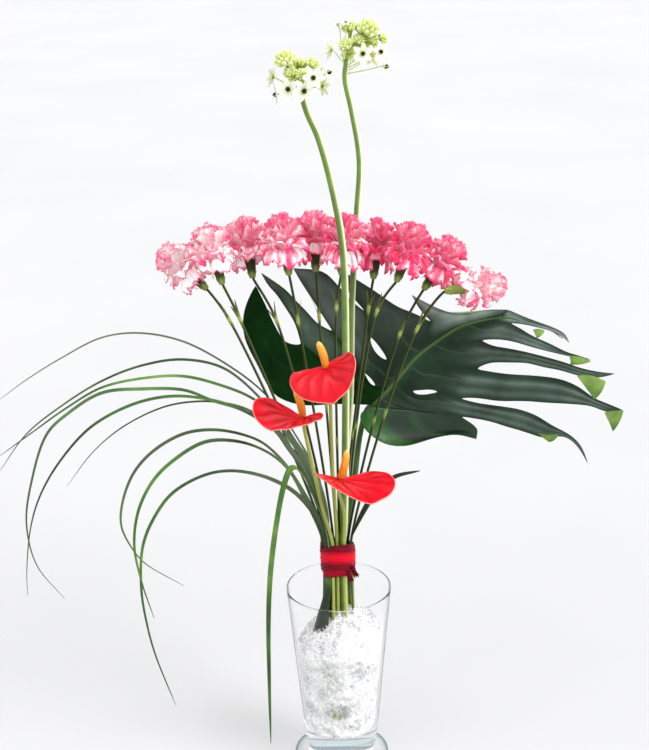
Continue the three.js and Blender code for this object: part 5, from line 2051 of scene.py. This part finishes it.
@dataclass(frozen=True)
class Camera:
    """Camera recovered from the picture: place in metres, turns in radians and pixels of reach."""

    place: Place = (0.0, -1.7216, 1.2001)
    pitch: float = 0.3533
    turn: float = -0.0075
    roll: float = -0.0216
    reach: float = 1450.0
    picture_height: float = 750.0
    sensor: float = 36.0
    sees_to: float = 50.0

    def build(self) -> None:
        """Sets the camera from its right, up and forward directions."""
        forward = np.array([math.sin(self.turn) * math.cos(self.pitch),
                            math.cos(self.turn) * math.cos(self.pitch), -math.sin(self.pitch)])
        level = np.array([math.cos(self.turn), -math.sin(self.turn), 0.0])
        rise = np.cross(level, forward)
        right = level * math.cos(self.roll) + rise * math.sin(self.roll)
        up = -level * math.sin(self.roll) + rise * math.cos(self.roll)
        data = bpy.data.cameras.new("camera")
        data.sensor_width = self.sensor
        data.lens = self.reach / self.picture_height * self.sensor
        data.clip_end = self.sees_to
        bpy.context.scene.camera = stand("camera", data, (right, up, -forward), self.place)


@dataclass(frozen=True)
class SoftLight:
    """Wide far lamp: compass angle from the front (to the left is minus), height angle, in degrees."""

    name: str
    side: float
    height: float
    spread: float
    power: float
    away: float = 3.0

    def build(self) -> None:
        """Adds the lamp as a sun disc of its spread."""
        data = bpy.data.lights.new(self.name, "SUN")
        data.energy = self.power
        data.angle = math.radians(self.spread)
        a, h = math.radians(self.side), math.radians(self.height)
        back = np.array([math.sin(a) * math.cos(h), -math.cos(a) * math.cos(h), math.sin(h)])
        side = unit(np.cross(UP, back))
        stand(self.name, data, (side, np.cross(back, side), back), self.away * back)


@dataclass(frozen=True)
class WhiteStudio:
    """Pale ground, bright even sky, soft lamps and the camera."""

    ground_reach: float = 60.0
    ground_drop: float = 0.0005         # keeps the ground clear of the foot's underside
    lamps: tuple[SoftLight, ...] = (
        SoftLight("right_lamp", 60, 36, 34, 2.4),
        SoftLight("left_lamp", -38, 40, 60, 1.2),
        SoftLight("back_lamp", 165, 50, 70, 0.4),
        SoftLight("right_rim_lamp", 112, 24, 16, 1.3),
    )

    def ground(self, shop: Workshop) -> None:
        """Args: shop: holds the shared effects."""
        r = self.ground_reach
        mesh = bpy.data.meshes.new("ground")
        mesh.from_pydata([(-r, -r, 0), (r, -r, 0), (r, r, 0), (-r, r, 0)], [], [(0, 1, 2, 3)])
        mesh.materials.append(PaleGround().material(shop.effects))
        made = bpy.data.objects.new("ground", mesh)
        made.location.z = -self.ground_drop
        bpy.context.scene.collection.objects.link(made)

    def sky(self) -> None:
        """Sets a white sky, a little greyer toward the viewer, so that glass edges show."""
        world = bpy.data.worlds.new("studio")
        world.use_nodes = True
        g = Graph(world.node_tree)
        back = world.node_tree.nodes["Background"]
        look = g.node("SeparateXYZ", {0: g.node("TexCoord").outputs["Generated"]}).outputs
        behind = g.remap(look[1], -0.75, 0.25)
        colour = g.blend(behind, srgb(Studio.ROOM.value), srgb(Studio.SKY.value))
        world.node_tree.links.new(colour, back.inputs["Color"])
        back.inputs["Strength"].default_value = 1.0
        bpy.context.scene.world = world

    def build(self, shop: Workshop) -> None:
        """Args: shop: holds the shared effects."""
        self.ground(shop)
        self.sky()
        for lamp in self.lamps:
            lamp.build()
        Camera().build()
        bpy.context.scene.view_settings.view_transform = "Standard"


def main() -> None:
    """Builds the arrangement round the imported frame."""
    logging.basicConfig(level=logging.INFO, format="%(name)s: %(message)s")
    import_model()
    shop = Workshop()
    WhiteStudio().build(shop)
    for group in (GlassVase(), GelFilling(), RibbonTie(), CarnationGroup(), AnthuriumGroup(),
                  ScapeGroup(), MonsteraLeaf(), GrassGroup()):
        group.build(shop)
        log.info("%s is in place", type(group).__name__)


if __name__ == "__main__":
    main()
